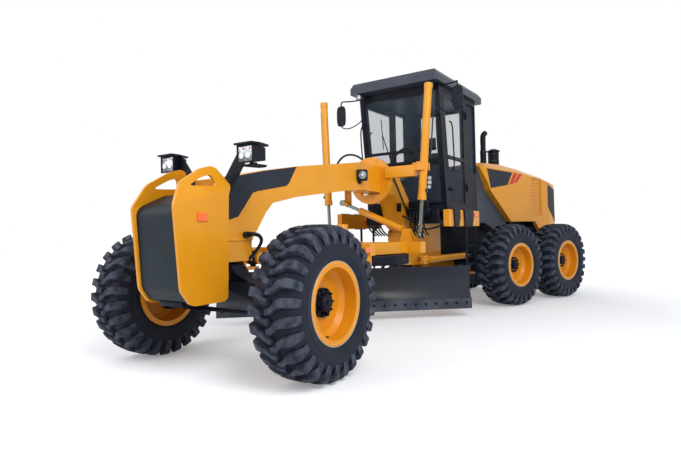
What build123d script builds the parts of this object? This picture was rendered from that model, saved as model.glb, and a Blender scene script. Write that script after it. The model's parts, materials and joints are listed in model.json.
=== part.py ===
from build123d import *
import os
from math import asin, atan2, cos, degrees, hypot, radians, sin, sqrt

# Motor grader, life size, in millimetres. +X is forward, +Y is the machine's left, +Z is up.
# The origin is on the ground under the middle of the whole machine as it stands, with its
# rear frame swung to the left at the articulation pivot.

# Layout
pivot_x = -1210
rear_swing = -17.5
stand_x = -41
stand_y = -150
front_axle_x = 3650
front_track = 2160
rear_track = 2120
tandem_back = 1500
tandem_spacing = 1520
seat_gap = 0.3
move_gap = 6

# Wheels
tyre_r = 670
tyre_w = 445
lug_h = 34
lug_count = 11
lug_trail = 84
tyre_facets = 22
bead_r = 318
rim_half = 205
flange_r = 354
flange_t = 15
rim_t = 13
disc_t = 22
disc_y = 20
hub_r = 100
hub_in = 95
hub_out = 70
spindle_r = 45

# Front frame
beam_half = 150
beam_wall = 16
hitch_half = 262
hitch_front = -90
hitch_back = -960
hitch_bottom = 740
hitch_top = 1440
hitch_wall = 30
fork_r = 120
fork_t = 55
pivot_pin_r = 45
bolster_bottom = 1010
bolster_back = front_axle_x - 190
bolster_front = front_axle_x + 250
beam_top = 2190

# Nose guard
nose_half = 290
nose_plate_t = 30
nose_cover_gap = seat_gap

# Front axle, wheel lean and steering
axle_half_depth = 95
lean_y = 700
axle_pin_z = 900
axle_pin_r = 60
lug_t = 42
lean_z = 620
lean_boss_r = 62
lean_pin_r = 32
lean_ear_t = 28
kingpin_y = 880
kingpin_r = 32
knuckle_r = 62
knuckle_low = 545
knuckle_high = 795
fork_plate_t = 35
lean_bar_x = 140
lean_bar_up = 180
lean_bar_r = 26
steer_arm = 200
steer_arm_t = 30
tie_z = 490
tie_ball_r = 30
tie_rod_r = 24
tie_free_gap = 22

# Drawbar, circle and blade
ball_x = bolster_back - 170
ball_z = 1020
ball_r = 75
ball_pin_r = 30
ball_pin_reach = 112
draw_ear_in = 80
draw_low = 970
draw_high = 1120
draw_leg_w = 110
draw_cross_x = 840
draw_cross_w = 150
circle_x = 1190
circle_r = 660
circle_in_r = 540
circle_low = 835
circle_high = 955
circle_teeth = 60
blade_angle = 40.4
blade_len = 3660
blade_shift = -147
blade_back = 300
blade_low = 120
blade_high = 745
blade_t = 22
blade_arc_r = 430
edge_h = 152
edge_t = 16
arm_y = 420
arm_t = 40
tip_x = -550
tip_z = 330
tip_boss_r = 45
tip_pin_r = 25
carrier_y = 510
rail_h = 40
rail_t = 26
rail_len = 3000
slide_gap = 0.6
shifter_r = 28
shifter_rod_r = 16
shifter_half = 620
shifter_z = 455

# Cylinders: barrel, rod
trunnion = (793, 795, 2130)
lift_eye = (840, 735, 1205)
lift_y = 735
barrel_r = 53
rod_r = 24
lift_barrel_up = 1125
lift_barrel_down = 445
shift_pin = (690, 470, 1260)
shift_eye = (690, -590, 1710)
shift_barrel_r = 48
artic_lug = (34, 410, 830)
artic_eye_back = 400
artic_eye_y = 470
artic_barrel_r = 50
eye_r = 45
ball_eye_r = 40
eye_t = 50

# Saddle
saddle_x = 840
saddle_ring_r = 330
saddle_ring_in = 235
saddle_t = 60
saddle_z = 1990
trunnion_gap = 0.6

# Cab
cab_half = 690
cab_rear_half = 620
cab_wall = 50
base_half = 650
cab_floor_z = 1540
roof_top = 3640
cab_eave_z = roof_top - 170
cab_waist_z = 2500
cab_back_x = -1710
cab_foot_x = -260
cab_head_x = -20
cab_belt_z = 2330
door_front = -300
door_back = -1100
door_gap = 8
glass_t = 8
roof_front = 190
roof_back = -1800
roof_half = 750
roof_corner = 32
roof_lamp_y = 600
beacon_x = -1400
beacon_y = 350
beacon_pcd = 130
beacon_hole_r = 5.5

# Rear frame, hood and tandems
rear_half = 300
rear_low = 765
rear_end = -3150
hitch_pin_r = 21
tow_x = -3260
tow_z = 930
tow_t = 25
tow_gap = 60
rear_top = 1250
hood_half = 555
hood_front_half = 470
louvre_x = -2440
louvre_z = 1880
louvre_len = 356
louvre_tall = 720
louvre_deep = 22
louvre_t = 14
louvre_count = 12
engine = (1250, 700, 800)
grille_bars = 9
tandem_half = 90
tandem_y = 735
tandem_h = 330
axle_tube_r = 105

SIDES = (("left", 1), ("right", -1))
REAR = Location((pivot_x, 0, 0), (0, 0, rear_swing))
BLADE = Location((circle_x, 0, 0), (0, 0, blade_angle))
# Shift from the axes used below, in line with the front frame, to the middle
# of the whole machine
STAND = Location((stand_x, stand_y, 0))
axle_y = front_track / 2
ear_in = axle_half_depth + move_gap
rear_y = rear_track / 2
CENTRE_MIN = (Align.CENTER, Align.CENTER, Align.MIN)

os.makedirs("parts", exist_ok=True)


def side_plane(y):
    """Upright plane across y, local x forward and local y up, that extrudes towards -Y."""
    return Plane(origin=(0, y, 0), x_dir=(1, 0, 0), z_dir=(0, -1, 0))


def cross_plane(x):
    """Upright plane across x, local x to the left and local y up, that extrudes towards +X."""
    return Plane(origin=(x, 0, 0), x_dir=(0, 1, 0), z_dir=(1, 0, 0))


def outline(plane, points):
    """Closed straight-sided face on a plane."""
    with BuildSketch(plane) as face:
        with BuildLine():
            Polyline(*points, close=True)
        make_face()
    return face.sketch


def mirrored(points):
    """A half outline given for +Y, closed by its own mirror image."""
    return list(points) + [(-y, z) for y, z in reversed(points)]


def along(start, end):
    """Plane at start whose normal points at end."""
    return Plane(origin=start, z_dir=Vector(*end) - Vector(*start))


def span(start, end):
    return (Vector(*end) - Vector(*start)).length


def point_at(start, end, distance):
    line = Vector(*end) - Vector(*start)
    return tuple(Vector(*start) + line.normalized() * distance)


# Wheels: one tyre and one rim with its hub for each of six places
def rim_outline():
    """Section of rim, disc and hub as (axial, radius), axial positive outboard."""
    seat = bead_r - seat_gap
    inner = seat - rim_t
    return [
        (-rim_half, flange_r), (flange_t - rim_half, flange_r), (flange_t - rim_half, seat),
        (rim_half - flange_t, seat), (rim_half - flange_t, flange_r), (rim_half, flange_r),
        (rim_half, inner), (disc_y + 3 * disc_t, inner - 6), (disc_y + disc_t, inner - 50),
        (disc_y + disc_t, hub_r), (hub_out, hub_r), (hub_out, 0), (hub_out - 30, 0),
        (hub_out - 30, spindle_r + seat_gap), (-hub_in, spindle_r + seat_gap), (-hub_in, hub_r),
        (disc_y, hub_r), (disc_y, inner - 50), (disc_y - 10, inner - 6), (-rim_half, inner),
    ]


def wheel_plane(y):
    return Plane(origin=(0, y, 0), x_dir=(1, 0, 0), z_dir=(0, 1, 0))


def facets(y, radius, outer=True):
    """Regular outline of the tyre across its width, with its corners or its flats at radius."""
    with BuildSketch(wheel_plane(y)) as ring:
        RegularPolygon(radius, tyre_facets, major_radius=outer)
    return ring.sketch


half_tyre = tyre_w / 2
lug_reach = sqrt(tyre_r ** 2 - lug_trail ** 2)
lug_lead = degrees(asin(lug_trail / tyre_r))
LUG_PLAN = [(6, -34), (6, 28), (half_tyre, lug_trail), (half_tyre, lug_trail - 74)]
# Tyre section, from the middle outwards: (axial, radius)
TYRE_SECTION = [(0, tyre_r - lug_h), (130, tyre_r - lug_h), (half_tyre - 12, tyre_r - 88)]
with BuildPart() as tyre_form:
    for side in (1, -1):
        for (near, near_r), (far, far_r) in zip(TYRE_SECTION, TYRE_SECTION[1:]):
            loft([facets(side * near, near_r), facets(side * far, far_r)], ruled=True)
        # Lugs in a V, one row each side, set half a pitch apart
        for lug in range(lug_count):
            turn = radians(-90 - lug_lead + (lug + (1 - side) / 4) * 360 / lug_count)
            lug_plane = Plane(origin=(0, 0, 0), x_dir=(0, side, 0), z_dir=(cos(turn), 0, sin(turn)))
            with BuildSketch(lug_plane.offset(tyre_r - 2 * lug_h)) as plan:
                Polygon(*[(x, side * y) for x, y in LUG_PLAN], align=None)
            extrude(plan.sketch, amount=lug_reach - tyre_r + 2 * lug_h)
    for side in (1, -1):
        loft([facets(side * (half_tyre - 12), bead_r + 140, False),
              facets(side * (rim_half - flange_t - seat_gap), flange_r + 2, False)],
             ruled=True, mode=Mode.SUBTRACT)
    extrude(facets(-half_tyre, bead_r, False), amount=tyre_w, mode=Mode.SUBTRACT)

WHEELS = [(f"front_{side}", Location((front_axle_x, sign * axle_y, tyre_r)), sign)
          for side, sign in SIDES]
WHEELS += [(f"{row}_{side}", REAR * Location((-tandem_back + step * tandem_spacing / 2,
                                             sign * rear_y, tyre_r)), sign)
           for row, step in (("middle", 1), ("rear", -1)) for side, sign in SIDES]

for place, spot, sign in WHEELS:
    with BuildPart() as tyre:
        add(tyre_form.part)
    tyre.part.move(spot)
    tyre.part.move(STAND)
    tyre.part.label = f"tyre_{place}"
    export_step(tyre.part, f"parts/tyre_{place}.step")

    with BuildPart() as rim:
        with BuildSketch(Plane.XY):
            with BuildLine():
                Polyline(*[(radius, sign * axial) for axial, radius in rim_outline()], close=True)
            make_face()
        revolve(axis=Axis.Y)
    rim.part.move(spot)
    rim.part.move(STAND)
    rim.part.label = f"rim_{place}"
    export_step(rim.part, f"parts/rim_{place}.step")


# Front frame: arched box beam, bolster over the axle, rear leg and hitch box
BEAM_TOP = [(bolster_front, 1790), (bolster_front - 270, 1840), (bolster_back - 210, 1920), (2720, 2010),
            (1740, beam_top - 50), (1380, beam_top), (500, beam_top), (240, 2030)]
BEAM_BACK = [(-300, 1460), (hitch_front - 200, 1300)]
BEAM_BELLY = [(hitch_front, 1240), (150, 1330), (400, 1800), (1300, 1830), (1760, 1790),
              (2730, 1670), (bolster_back - 330, 1590), (bolster_back - 220, 1490), (bolster_back, 1200),
              (bolster_back, bolster_bottom), (bolster_front, bolster_bottom)]

with BuildPart() as front_frame:
    extrude(outline(side_plane(0), BEAM_TOP + BEAM_BACK + BEAM_BELLY), amount=beam_half, both=True)
    # Hitch box: two side plates, closed front, roof and floor
    hitch_side = [(hitch_front, hitch_bottom), (hitch_front, 1250), (-300, hitch_top),
                  (hitch_back, hitch_top), (hitch_back, hitch_bottom)]
    for sign in (1, -1):
        extrude(outline(side_plane(sign * hitch_half), hitch_side), amount=sign * hitch_wall)
    with Locations(((hitch_front + hitch_back) / 2, 0, hitch_bottom + hitch_wall / 2)):
        Box(hitch_front - hitch_back, 2 * hitch_half, hitch_wall)
    with Locations(((hitch_back - 300) / 2, 0, hitch_top - hitch_wall / 2)):
        Box(-300 - hitch_back, 2 * hitch_half, hitch_wall)
    with Locations((hitch_front - hitch_wall / 2, 0, (hitch_bottom + 1250) / 2)):
        Box(hitch_wall, 2 * hitch_half, 1250 - hitch_bottom)
    # Fork plates of the articulation pivot with their pins
    for fork_z in (hitch_bottom, hitch_top - fork_t):
        with BuildSketch(Plane.XY.offset(fork_z)):
            with BuildLine():
                Polyline((hitch_back + 40, hitch_half), (hitch_back, hitch_half), (pivot_x, fork_r),
                         (pivot_x, -fork_r), (hitch_back, -hitch_half),
                         (hitch_back + 40, -hitch_half), close=True)
            make_face()
            with Locations((pivot_x, 0)):
                Circle(fork_r)
        extrude(amount=fork_t)
    for pin_z, reach in ((hitch_bottom, 150), (hitch_top, -150)):
        with Locations(Plane(origin=(pivot_x, 0, pin_z), z_dir=(0, 0, reach))):
            Cylinder(pivot_pin_r, abs(reach), align=CENTRE_MIN)
    # Ears for the articulation cylinders
    for sign in (1, -1):
        for ear_z in (artic_lug[2] + eye_t / 2 + move_gap, artic_lug[2] - eye_t / 2 - move_gap - 30):
            with BuildSketch(Plane.XY.offset(ear_z)):
                with BuildLine():
                    Polyline((artic_lug[0] - 40, sign * (artic_lug[1] + 45)),
                             (artic_lug[0] + 45, sign * (artic_lug[1] + 20)),
                             (artic_lug[0] + 45, sign * (artic_lug[1] - 45)),
                             (hitch_front - 40, sign * (hitch_half - 40)),
                             (hitch_front - 200, sign * (hitch_half - 40)),
                             (hitch_front - 200, sign * (hitch_half + 20)),
                             (artic_lug[0] - 100, sign * (artic_lug[1] - 60)), close=True)
                make_face()
            extrude(amount=30)
        with Locations((artic_lug[0], sign * artic_lug[1], artic_lug[2])):
            Cylinder(spindle_r / 2, eye_t + 2 * move_gap + 40)
    # Plates that hold the drawbar ball from above and below
    for plate_z in (ball_z + ball_r + 8, ball_z - ball_r - 8 - 30):
        with BuildSketch(Plane.XY.offset(plate_z)):
            with Locations((ball_x, 0)):
                Circle(62)
            with Locations(((ball_x + bolster_back + 60) / 2, 0)):
                Rectangle(bolster_back + 60 - ball_x, 124)
            with Locations((ball_x, 0)):
                Circle(ball_pin_r + seat_gap, mode=Mode.SUBTRACT)
        extrude(amount=30)
    # Ears under the bolster, ahead of and behind the axle, with its centre pin
    for end in (1, -1):
        with Locations((front_axle_x + end * (ear_in + lug_t / 2), 0, (bolster_bottom + axle_pin_z - 60) / 2)):
            Box(lug_t, 240, bolster_bottom - axle_pin_z + 60)
    with Locations((front_axle_x, 0, axle_pin_z)):
        Cylinder(axle_pin_r, 2 * (ear_in + lug_t), rotation=(0, 90, 0))
front_frame.part.move(STAND)
front_frame.part.label = "front_frame"
export_step(front_frame.part, "parts/front_frame.step")

# Nose guard: two side plates with a handle slot, a bare dark cover between them, two lamps
# Points ahead of the bolster's front face
NOSE_SIDE = [(30, 700), (75, 672), (410, 672), (465, 695), (552, 810), (612, 1520),
             (500, 1720), (270, 1850), (145, 1885), (85, 1870), (-30, 1720), (0, 1620)]
NOSE_SLOT = [(430, 1690), (270, 1775), (160, 1800), (120, 1700)]
NOSE_COVER = [(90, 690), (410, 690), (452, 712), (532, 815), (580, 1510), (280, 1640), (90, 1640)]


def nose_plane(y):
    return Plane(origin=(bolster_front, y, 0), x_dir=(1, 0, 0), z_dir=(0, -1, 0))



with BuildPart() as nose_plates:
    for sign in (1, -1):
        extrude(outline(nose_plane(sign * nose_half), NOSE_SIDE), amount=sign * nose_plate_t)
        extrude(outline(nose_plane(sign * nose_half), NOSE_SLOT), amount=sign * nose_plate_t,
                mode=Mode.SUBTRACT)
    nose_inner = nose_half - nose_plate_t
    with Locations((bolster_front + seat_gap + 30, 0, 1350)):
        Box(60, 2 * nose_inner + 2, 560)
nose_plates.part.move(STAND)
nose_plates.part.label = "nose_plates"
export_step(nose_plates.part, "parts/nose_plates.step")

with BuildPart() as nose_cover:
    extrude(outline(nose_plane(0), NOSE_COVER), amount=nose_inner - nose_cover_gap, both=True)
    with Locations((bolster_front + 90, 0, 1165)):
        Box(60, 2 * nose_inner, 1000, mode=Mode.SUBTRACT)
nose_cover.part.move(STAND)
nose_cover.part.label = "nose_cover"
export_step(nose_cover.part, "parts/nose_cover.step")

LAMP_ARM = [(-10, 1560), (90, 1560), (30, 1880), (-90, 1880)]
lamp_x = bolster_front - 90
lamp_y = 520
lamp_z = 1980
lamp_size = (230, 220, 200)
lens_r = 62
with BuildPart() as headlamps:
    for sign in (1, -1):
        extrude(outline(nose_plane(sign * (nose_half + 24)), LAMP_ARM), amount=sign * 24)
        with Locations((bolster_front - 45, sign * (lamp_y / 2 + 130), 1870)):
            Box(50, lamp_y - 130, 30)
        with Locations((lamp_x, sign * lamp_y, lamp_z)):
            Box(*lamp_size)
        # Round lens with a bezel, and a hood over it
        with Locations((lamp_x + lamp_size[0] / 2, sign * lamp_y, lamp_z)):
            Cylinder(lens_r + 16, 24, rotation=(0, 90, 0))
            Cylinder(lens_r, 26, rotation=(0, 90, 0), mode=Mode.SUBTRACT)
        with Locations((lamp_x + 30, sign * lamp_y, lamp_z + lamp_size[2] / 2 + 6)):
            Box(lamp_size[0] + 50, lamp_size[1] + 12, 14)
headlamps.part.move(STAND)
headlamps.part.label = "headlamps"
export_step(headlamps.part, "parts/headlamps.step")


# Front axle beam, hung from its centre pin under the bolster
AXLE_HALF = [(0, 985), (130, 985), (210, 900), (lean_y - 60, 700), (lean_y, 690),
             (lean_y, 550), (lean_y - 60, 545), (260, 700), (0, 760)]
with BuildPart() as front_axle:
    for sign in (1, -1):
        extrude(outline(cross_plane(front_axle_x), [(sign * y, z) for y, z in AXLE_HALF]),
                amount=axle_half_depth, both=True)
        with Locations((front_axle_x, sign * lean_y, lean_z)):
            Cylinder(lean_boss_r, 2 * axle_half_depth, rotation=(0, 90, 0))
        with Locations((front_axle_x, sign * lean_y, lean_z)):
            Cylinder(lean_pin_r + seat_gap, 2 * axle_half_depth, rotation=(0, 90, 0),
                     mode=Mode.SUBTRACT)
    with Locations((front_axle_x, 0, axle_pin_z)):
        Cylinder(axle_pin_r + seat_gap, 2 * axle_half_depth, rotation=(0, 90, 0), mode=Mode.SUBTRACT)
front_axle.part.move(STAND)
front_axle.part.label = "front_axle"
export_step(front_axle.part, "parts/front_axle.step")

fork_back = kingpin_y - knuckle_r - move_gap
fork_low = knuckle_low - move_gap
fork_high = knuckle_high + move_gap
arm_room_z = 605
for side, sign in SIDES:
    # Lean bracket: ears on the axle's end, a C that holds the kingpin, an ear for the lean bar
    with BuildPart() as lean_bracket:
        for end in (1, -1):
            near = front_axle_x + end * ear_in
            with BuildSketch(cross_plane(near)) as ear:
                with BuildLine():
                    Polyline((sign * lean_y, lean_z + lean_boss_r),
                             (sign * fork_back, fork_high), (sign * fork_back, arm_room_z),
                             (sign * lean_y, lean_z - lean_boss_r), close=True)
                make_face()
                with Locations((sign * lean_y, lean_z)):
                    Circle(lean_boss_r)
            extrude(ear.sketch, amount=end * lean_ear_t)
        with Locations((front_axle_x, sign * lean_y, lean_z)):
            Cylinder(lean_pin_r, 2 * ear_in + 2, rotation=(0, 90, 0))
        with Locations((front_axle_x, sign * (fork_back - fork_plate_t / 2),
                        (fork_high + fork_low) / 2)):
            Box(2 * (ear_in + lean_ear_t), fork_plate_t, fork_high - fork_low)
        # Room for the steering arm as it swings inboard
        with Locations((front_axle_x - ear_in - lean_ear_t, sign * fork_back, (arm_room_z + fork_low) / 2)):
            Box(2 * (ear_in + lean_ear_t - 40), 2 * fork_plate_t + 2, arm_room_z - fork_low,
                mode=Mode.SUBTRACT)
        for plate_z in (fork_high, fork_low - fork_plate_t):
            with BuildSketch(Plane.XY.offset(plate_z)) as plate:
                with Locations((front_axle_x, sign * (kingpin_y + fork_back - fork_plate_t) / 2)):
                    Rectangle(2 * knuckle_r, kingpin_y - fork_back + fork_plate_t)
                with Locations((front_axle_x, sign * kingpin_y)):
                    Circle(knuckle_r)
            extrude(plate.sketch, amount=fork_plate_t)
        with Locations((front_axle_x, sign * kingpin_y, fork_low - fork_plate_t)):
            Cylinder(kingpin_r, fork_high - fork_low + 2 * fork_plate_t, align=CENTRE_MIN)
        # Ear for the lean bar, ahead of the axle
        bar_z = lean_z + lean_bar_up
        bar_near = front_axle_x + lean_bar_x + lean_bar_r + move_gap
        with BuildSketch(cross_plane(bar_near)) as bar_ear:
            with BuildLine():
                Polyline((sign * (lean_y - 35), bar_z + 20), (sign * (lean_y + 20), bar_z + 35),
                         (sign * fork_back, fork_high), (sign * fork_back, fork_low + 80),
                         (sign * (fork_back - 60), fork_low + 80), (sign * (lean_y - 35), bar_z - 20),
                         close=True)
            make_face()
        extrude(bar_ear.sketch, amount=-(bar_near - front_axle_x - ear_in - lean_ear_t - 2), mode=Mode.PRIVATE)
        extrude(bar_ear.sketch, amount=22)
        with Locations((bar_near - 8, sign * (fork_back - 30), fork_low + 110)):
            Box(2 * (bar_near - front_axle_x - ear_in - lean_ear_t) + 10, 60, 60)
        with Locations(Plane(origin=(bar_near + 1, sign * lean_y, bar_z), z_dir=(-1, 0, 0))):
            Cylinder(14, 2 * lean_bar_r + move_gap, align=CENTRE_MIN)
    lean_bracket.part.move(STAND)
    lean_bracket.part.label = f"lean_bracket_{side}"
    export_step(lean_bracket.part, f"parts/lean_bracket_{side}.step")

    # Knuckle: kingpin barrel, wheel spindle and steering arm
    spindle_end = axle_y + hub_out - 40
    with BuildPart() as knuckle:
        with Locations((front_axle_x, sign * kingpin_y, knuckle_low)):
            Cylinder(knuckle_r, knuckle_high - knuckle_low, align=CENTRE_MIN)
        with Locations(Plane(origin=(front_axle_x, sign * kingpin_y, tyre_r), z_dir=(0, sign, 0))):
            Cylinder(spindle_r, spindle_end - kingpin_y, align=CENTRE_MIN)
            Cylinder(78, axle_y - hub_in - move_gap - kingpin_y, align=CENTRE_MIN)
        with Locations((front_axle_x - steer_arm / 2, sign * kingpin_y, knuckle_low + steer_arm_t / 2)):
            Box(steer_arm, 50, steer_arm_t)
        with Locations((front_axle_x - steer_arm, sign * kingpin_y, knuckle_low)):
            Cylinder(25, steer_arm_t, align=CENTRE_MIN)
        with Locations((front_axle_x, sign * kingpin_y, knuckle_low)):
            Cylinder(kingpin_r + seat_gap, knuckle_high - knuckle_low, align=CENTRE_MIN,
                     mode=Mode.SUBTRACT)
        if sign > 0:
            with Locations((front_axle_x - steer_arm, sign * kingpin_y, knuckle_low)):
                Cylinder(12 + seat_gap, steer_arm_t, align=CENTRE_MIN, mode=Mode.SUBTRACT)
        else:
            with Locations((front_axle_x - steer_arm, sign * kingpin_y, tie_z)):
                Sphere(tie_ball_r)
                Cylinder(12, knuckle_low - tie_z + 5, align=CENTRE_MIN)
    knuckle.part.move(STAND)
    knuckle.part.label = f"knuckle_{side}"
    export_step(knuckle.part, f"parts/knuckle_{side}.step")

with BuildPart() as lean_bar:
    with Locations((front_axle_x + lean_bar_x, 0, lean_z + lean_bar_up)):
        Box(2 * lean_bar_r, 2 * lean_y - 60, 2 * lean_bar_r)
    for sign in (1, -1):
        with Locations((front_axle_x + lean_bar_x, sign * lean_y, lean_z + lean_bar_up)):
            Cylinder(38, 2 * lean_bar_r, rotation=(0, 90, 0))
    for sign in (1, -1):
        with Locations((front_axle_x + lean_bar_x, sign * lean_y, lean_z + lean_bar_up)):
            Cylinder(14 + seat_gap, 2 * lean_bar_r, rotation=(0, 90, 0), mode=Mode.SUBTRACT)
lean_bar.part.move(STAND)
lean_bar.part.label = "lean_bar"
export_step(lean_bar.part, "parts/lean_bar.step")

tie_x = front_axle_x - steer_arm
with BuildPart() as tie_ball:
    with Locations((tie_x, kingpin_y, tie_z)):
        Sphere(tie_ball_r)
        Cylinder(12, knuckle_low + steer_arm_t + 8 - tie_z, align=CENTRE_MIN)
tie_ball.part.move(STAND)
tie_ball.part.label = "tie_ball"
export_step(tie_ball.part, "parts/tie_ball.step")

with BuildPart() as tie_rod:
    with Locations(Plane(origin=(tie_x, kingpin_y, tie_z), z_dir=(0, -1, 0))):
        Cylinder(tie_rod_r, 2 * kingpin_y, align=CENTRE_MIN)
    with Locations((tie_x, kingpin_y, tie_z)):
        Sphere(tie_ball_r + seat_gap, mode=Mode.SUBTRACT)
    with Locations((tie_x, -kingpin_y, tie_z)):
        Sphere(tie_ball_r + tie_free_gap, mode=Mode.SUBTRACT)
tie_rod.part.move(STAND)
tie_rod.part.label = "tie_rod"
export_step(tie_rod.part, "parts/tie_rod.step")


# Saddle: ring plate round the beam with arms out to both lift cylinders
arm_reach = trunnion[1] - barrel_r - 38
yoke_x = barrel_r + 8
with BuildPart() as saddle:
    with BuildSketch(cross_plane(saddle_x - saddle_t / 2)) as ring:
        with Locations((0, saddle_z)):
            Circle(saddle_ring_r)
            Rectangle(2 * (beam_half + seat_gap), 2 * (beam_top + seat_gap - saddle_z), mode=Mode.SUBTRACT)
    extrude(ring.sketch, amount=saddle_t)
    for sign in (1, -1):
        with Locations((saddle_x, sign * (arm_reach + 248) / 2, 2080)):
            Box(130, arm_reach - 272, 150)
        # Fore and aft ears that hold the trunnion pins
        for end in (1, -1):
            with Locations((trunnion[0] + end * (yoke_x + 12), sign * (trunnion[1] - 25), trunnion[2])):
                Box(24, 150, 100)
        with Locations((trunnion[0] + 10, sign * (arm_reach - 12), trunnion[2] - 25)):
            Box(2 * yoke_x + 68, 24, 150)
        with Locations((trunnion[0], sign * trunnion[1], trunnion[2])):
            Cylinder(22 + trunnion_gap, 2 * yoke_x + 90, rotation=(0, 90, 0), mode=Mode.SUBTRACT)
    # Lug for the centre-shift cylinder, below on the right, behind the cylinder's eye
    with Locations((shift_eye[0] - 118, shift_eye[1] + 20, 1860)):
        Box(22, 110, 380)
    with Locations(Plane(origin=(shift_eye[0] - 118, shift_eye[1], shift_eye[2]), z_dir=(1, 0, 0))):
        Cylinder(18, 33, align=CENTRE_MIN)
    with Locations((saddle_x - 112, shift_eye[1] + 20, 1960)):
        Box(374, 110, 120)
saddle.part.move(STAND)
saddle.part.label = "saddle"
export_step(saddle.part, "parts/saddle.step")


# Drawbar with its ball, circle, and the blade under it
with BuildPart() as drawbar_ball:
    with Locations((ball_x, 0, ball_z)):
        Sphere(ball_r)
        Cylinder(ball_pin_r, 2 * ball_pin_reach)
        Cylinder(ball_pin_r, 2 * ball_pin_reach, rotation=(90, 0, 0))
drawbar_ball.part.move(STAND)
drawbar_ball.part.label = "drawbar_ball"
export_step(drawbar_ball.part, "parts/drawbar_ball.step")

draw_thick = draw_high - draw_low
guide_r = circle_r + 25
with BuildPart() as drawbar:
    for sign in (1, -1):
        # Ear on the ball's pin, then the leg back to the cross beam
        with BuildSketch(side_plane(sign * draw_ear_in)) as ear:
            with Locations((ball_x, ball_z)):
                Circle(60)
            with Locations((ball_x - 80, ball_z)):
                Rectangle(160, 120)
            with Locations((ball_x, ball_z)):
                Circle(ball_pin_r + seat_gap, mode=Mode.SUBTRACT)
        extrude(ear.sketch, amount=-sign * 30)
        with BuildSketch(Plane.XY.offset(draw_low)) as leg:
            with BuildLine():
                Polyline((ball_x - 100, sign * 110), (1730, sign * 350), (draw_cross_x, sign * 600),
                         (draw_cross_x, sign * (600 - draw_leg_w)), (1730, sign * (350 - draw_leg_w)),
                         (ball_x - 110, 0), close=True)
            make_face()
        extrude(leg.sketch, amount=draw_thick)
        with Locations((ball_x - 135, sign * 54, (draw_low + draw_high) / 2)):
            Box(80, 110, draw_thick + 20)
    with Locations((draw_cross_x, 0, (draw_low + draw_high) / 2)):
        Box(draw_cross_w, 2 * (lift_y + 45), draw_thick)
    with Locations((1700, 0, (draw_low + draw_high) / 2)):
        Box(120, 1000, draw_thick)
    # Rear rails over the circle
    for sign in (1, -1):
        with Locations((700, sign * 400, draw_low + draw_thick / 2)):
            Box(400, 110, draw_thick)
    # Shoes that hold the circle's rim: a block beside the rim with a lip under it
    for sign in (1, -1):
        for shoe_angle in (38, 142):
            spot = Location((circle_x, 0, 0), (0, 0, sign * shoe_angle))
            with Locations(spot * Location((circle_r + 45, 0, (draw_low + circle_low - 40) / 2))):
                Box(78, 120, draw_low - circle_low + 42)
            with Locations(spot * Location((circle_r + 20, 0, circle_low - slide_gap - 17))):
                Box(100, 120, 34)
    # Drive housing of the circle
    with Locations((circle_x + 420, 0, draw_low)):
        Cylinder(125, 260, align=CENTRE_MIN)
        Cylinder(75, 400, align=CENTRE_MIN)
    # Bracket for the centre-shift cylinder
    for end in (1, -1):
        with BuildSketch(cross_plane(shift_pin[0] + end * (eye_t / 2 + move_gap))) as bracket:
            with BuildLine():
                Polyline((shift_pin[1] - 90, draw_high - 10), (shift_pin[1] + 110, draw_high - 10),
                         (shift_pin[1] + 45, shift_pin[2] + 35), (shift_pin[1] - 45, shift_pin[2] + 35),
                         close=True)
            make_face()
        extrude(bracket.sketch, amount=end * 22)
    with Locations(shift_pin):
        Cylinder(18, eye_t + 2 * move_gap + 30, rotation=(0, 90, 0))
drawbar.part.move(STAND)
drawbar.part.label = "drawbar"
export_step(drawbar.part, "parts/drawbar.step")

with BuildPart() as circle:
    with BuildSketch(Plane.XY.offset(circle_low)) as band:
        Circle(circle_r)
        Circle(circle_in_r, mode=Mode.SUBTRACT)
    extrude(band.sketch, amount=circle_high - circle_low)
    with BuildSketch(Plane.XY.offset(circle_low + 20)) as teeth:
        with PolarLocations(circle_in_r - 10, circle_teeth):
            Trapezoid(46, 34, 76, rotation=90)
    extrude(teeth.sketch, amount=circle_high - circle_low - 40)
    # Arms down to the blade's tip pivot
    ARM = [(-330, circle_low + 6), (-440, circle_low + 6), (-440, circle_low - 47), (-600, circle_low - 65),
           (-605, tip_z - 60), (-515, tip_z - 60), (-515, circle_low - 95), (-330, circle_low - 45)]
    for sign in (1, -1):
        extrude(outline(side_plane(sign * arm_y), ARM), amount=arm_t / 2, both=True)
        with Locations((tip_x, sign * arm_y, tip_z)):
            Cylinder(tip_boss_r + 10, arm_t, rotation=(90, 0, 0))
    for sign in (1, -1):
        with Locations((tip_x, sign * arm_y, tip_z)):
            Cylinder(tip_pin_r + seat_gap, arm_t + 2, rotation=(90, 0, 0), mode=Mode.SUBTRACT)
circle.part.move(BLADE)
circle.part.move(STAND)
circle.part.label = "circle"
export_step(circle.part, "parts/circle.step")

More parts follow.
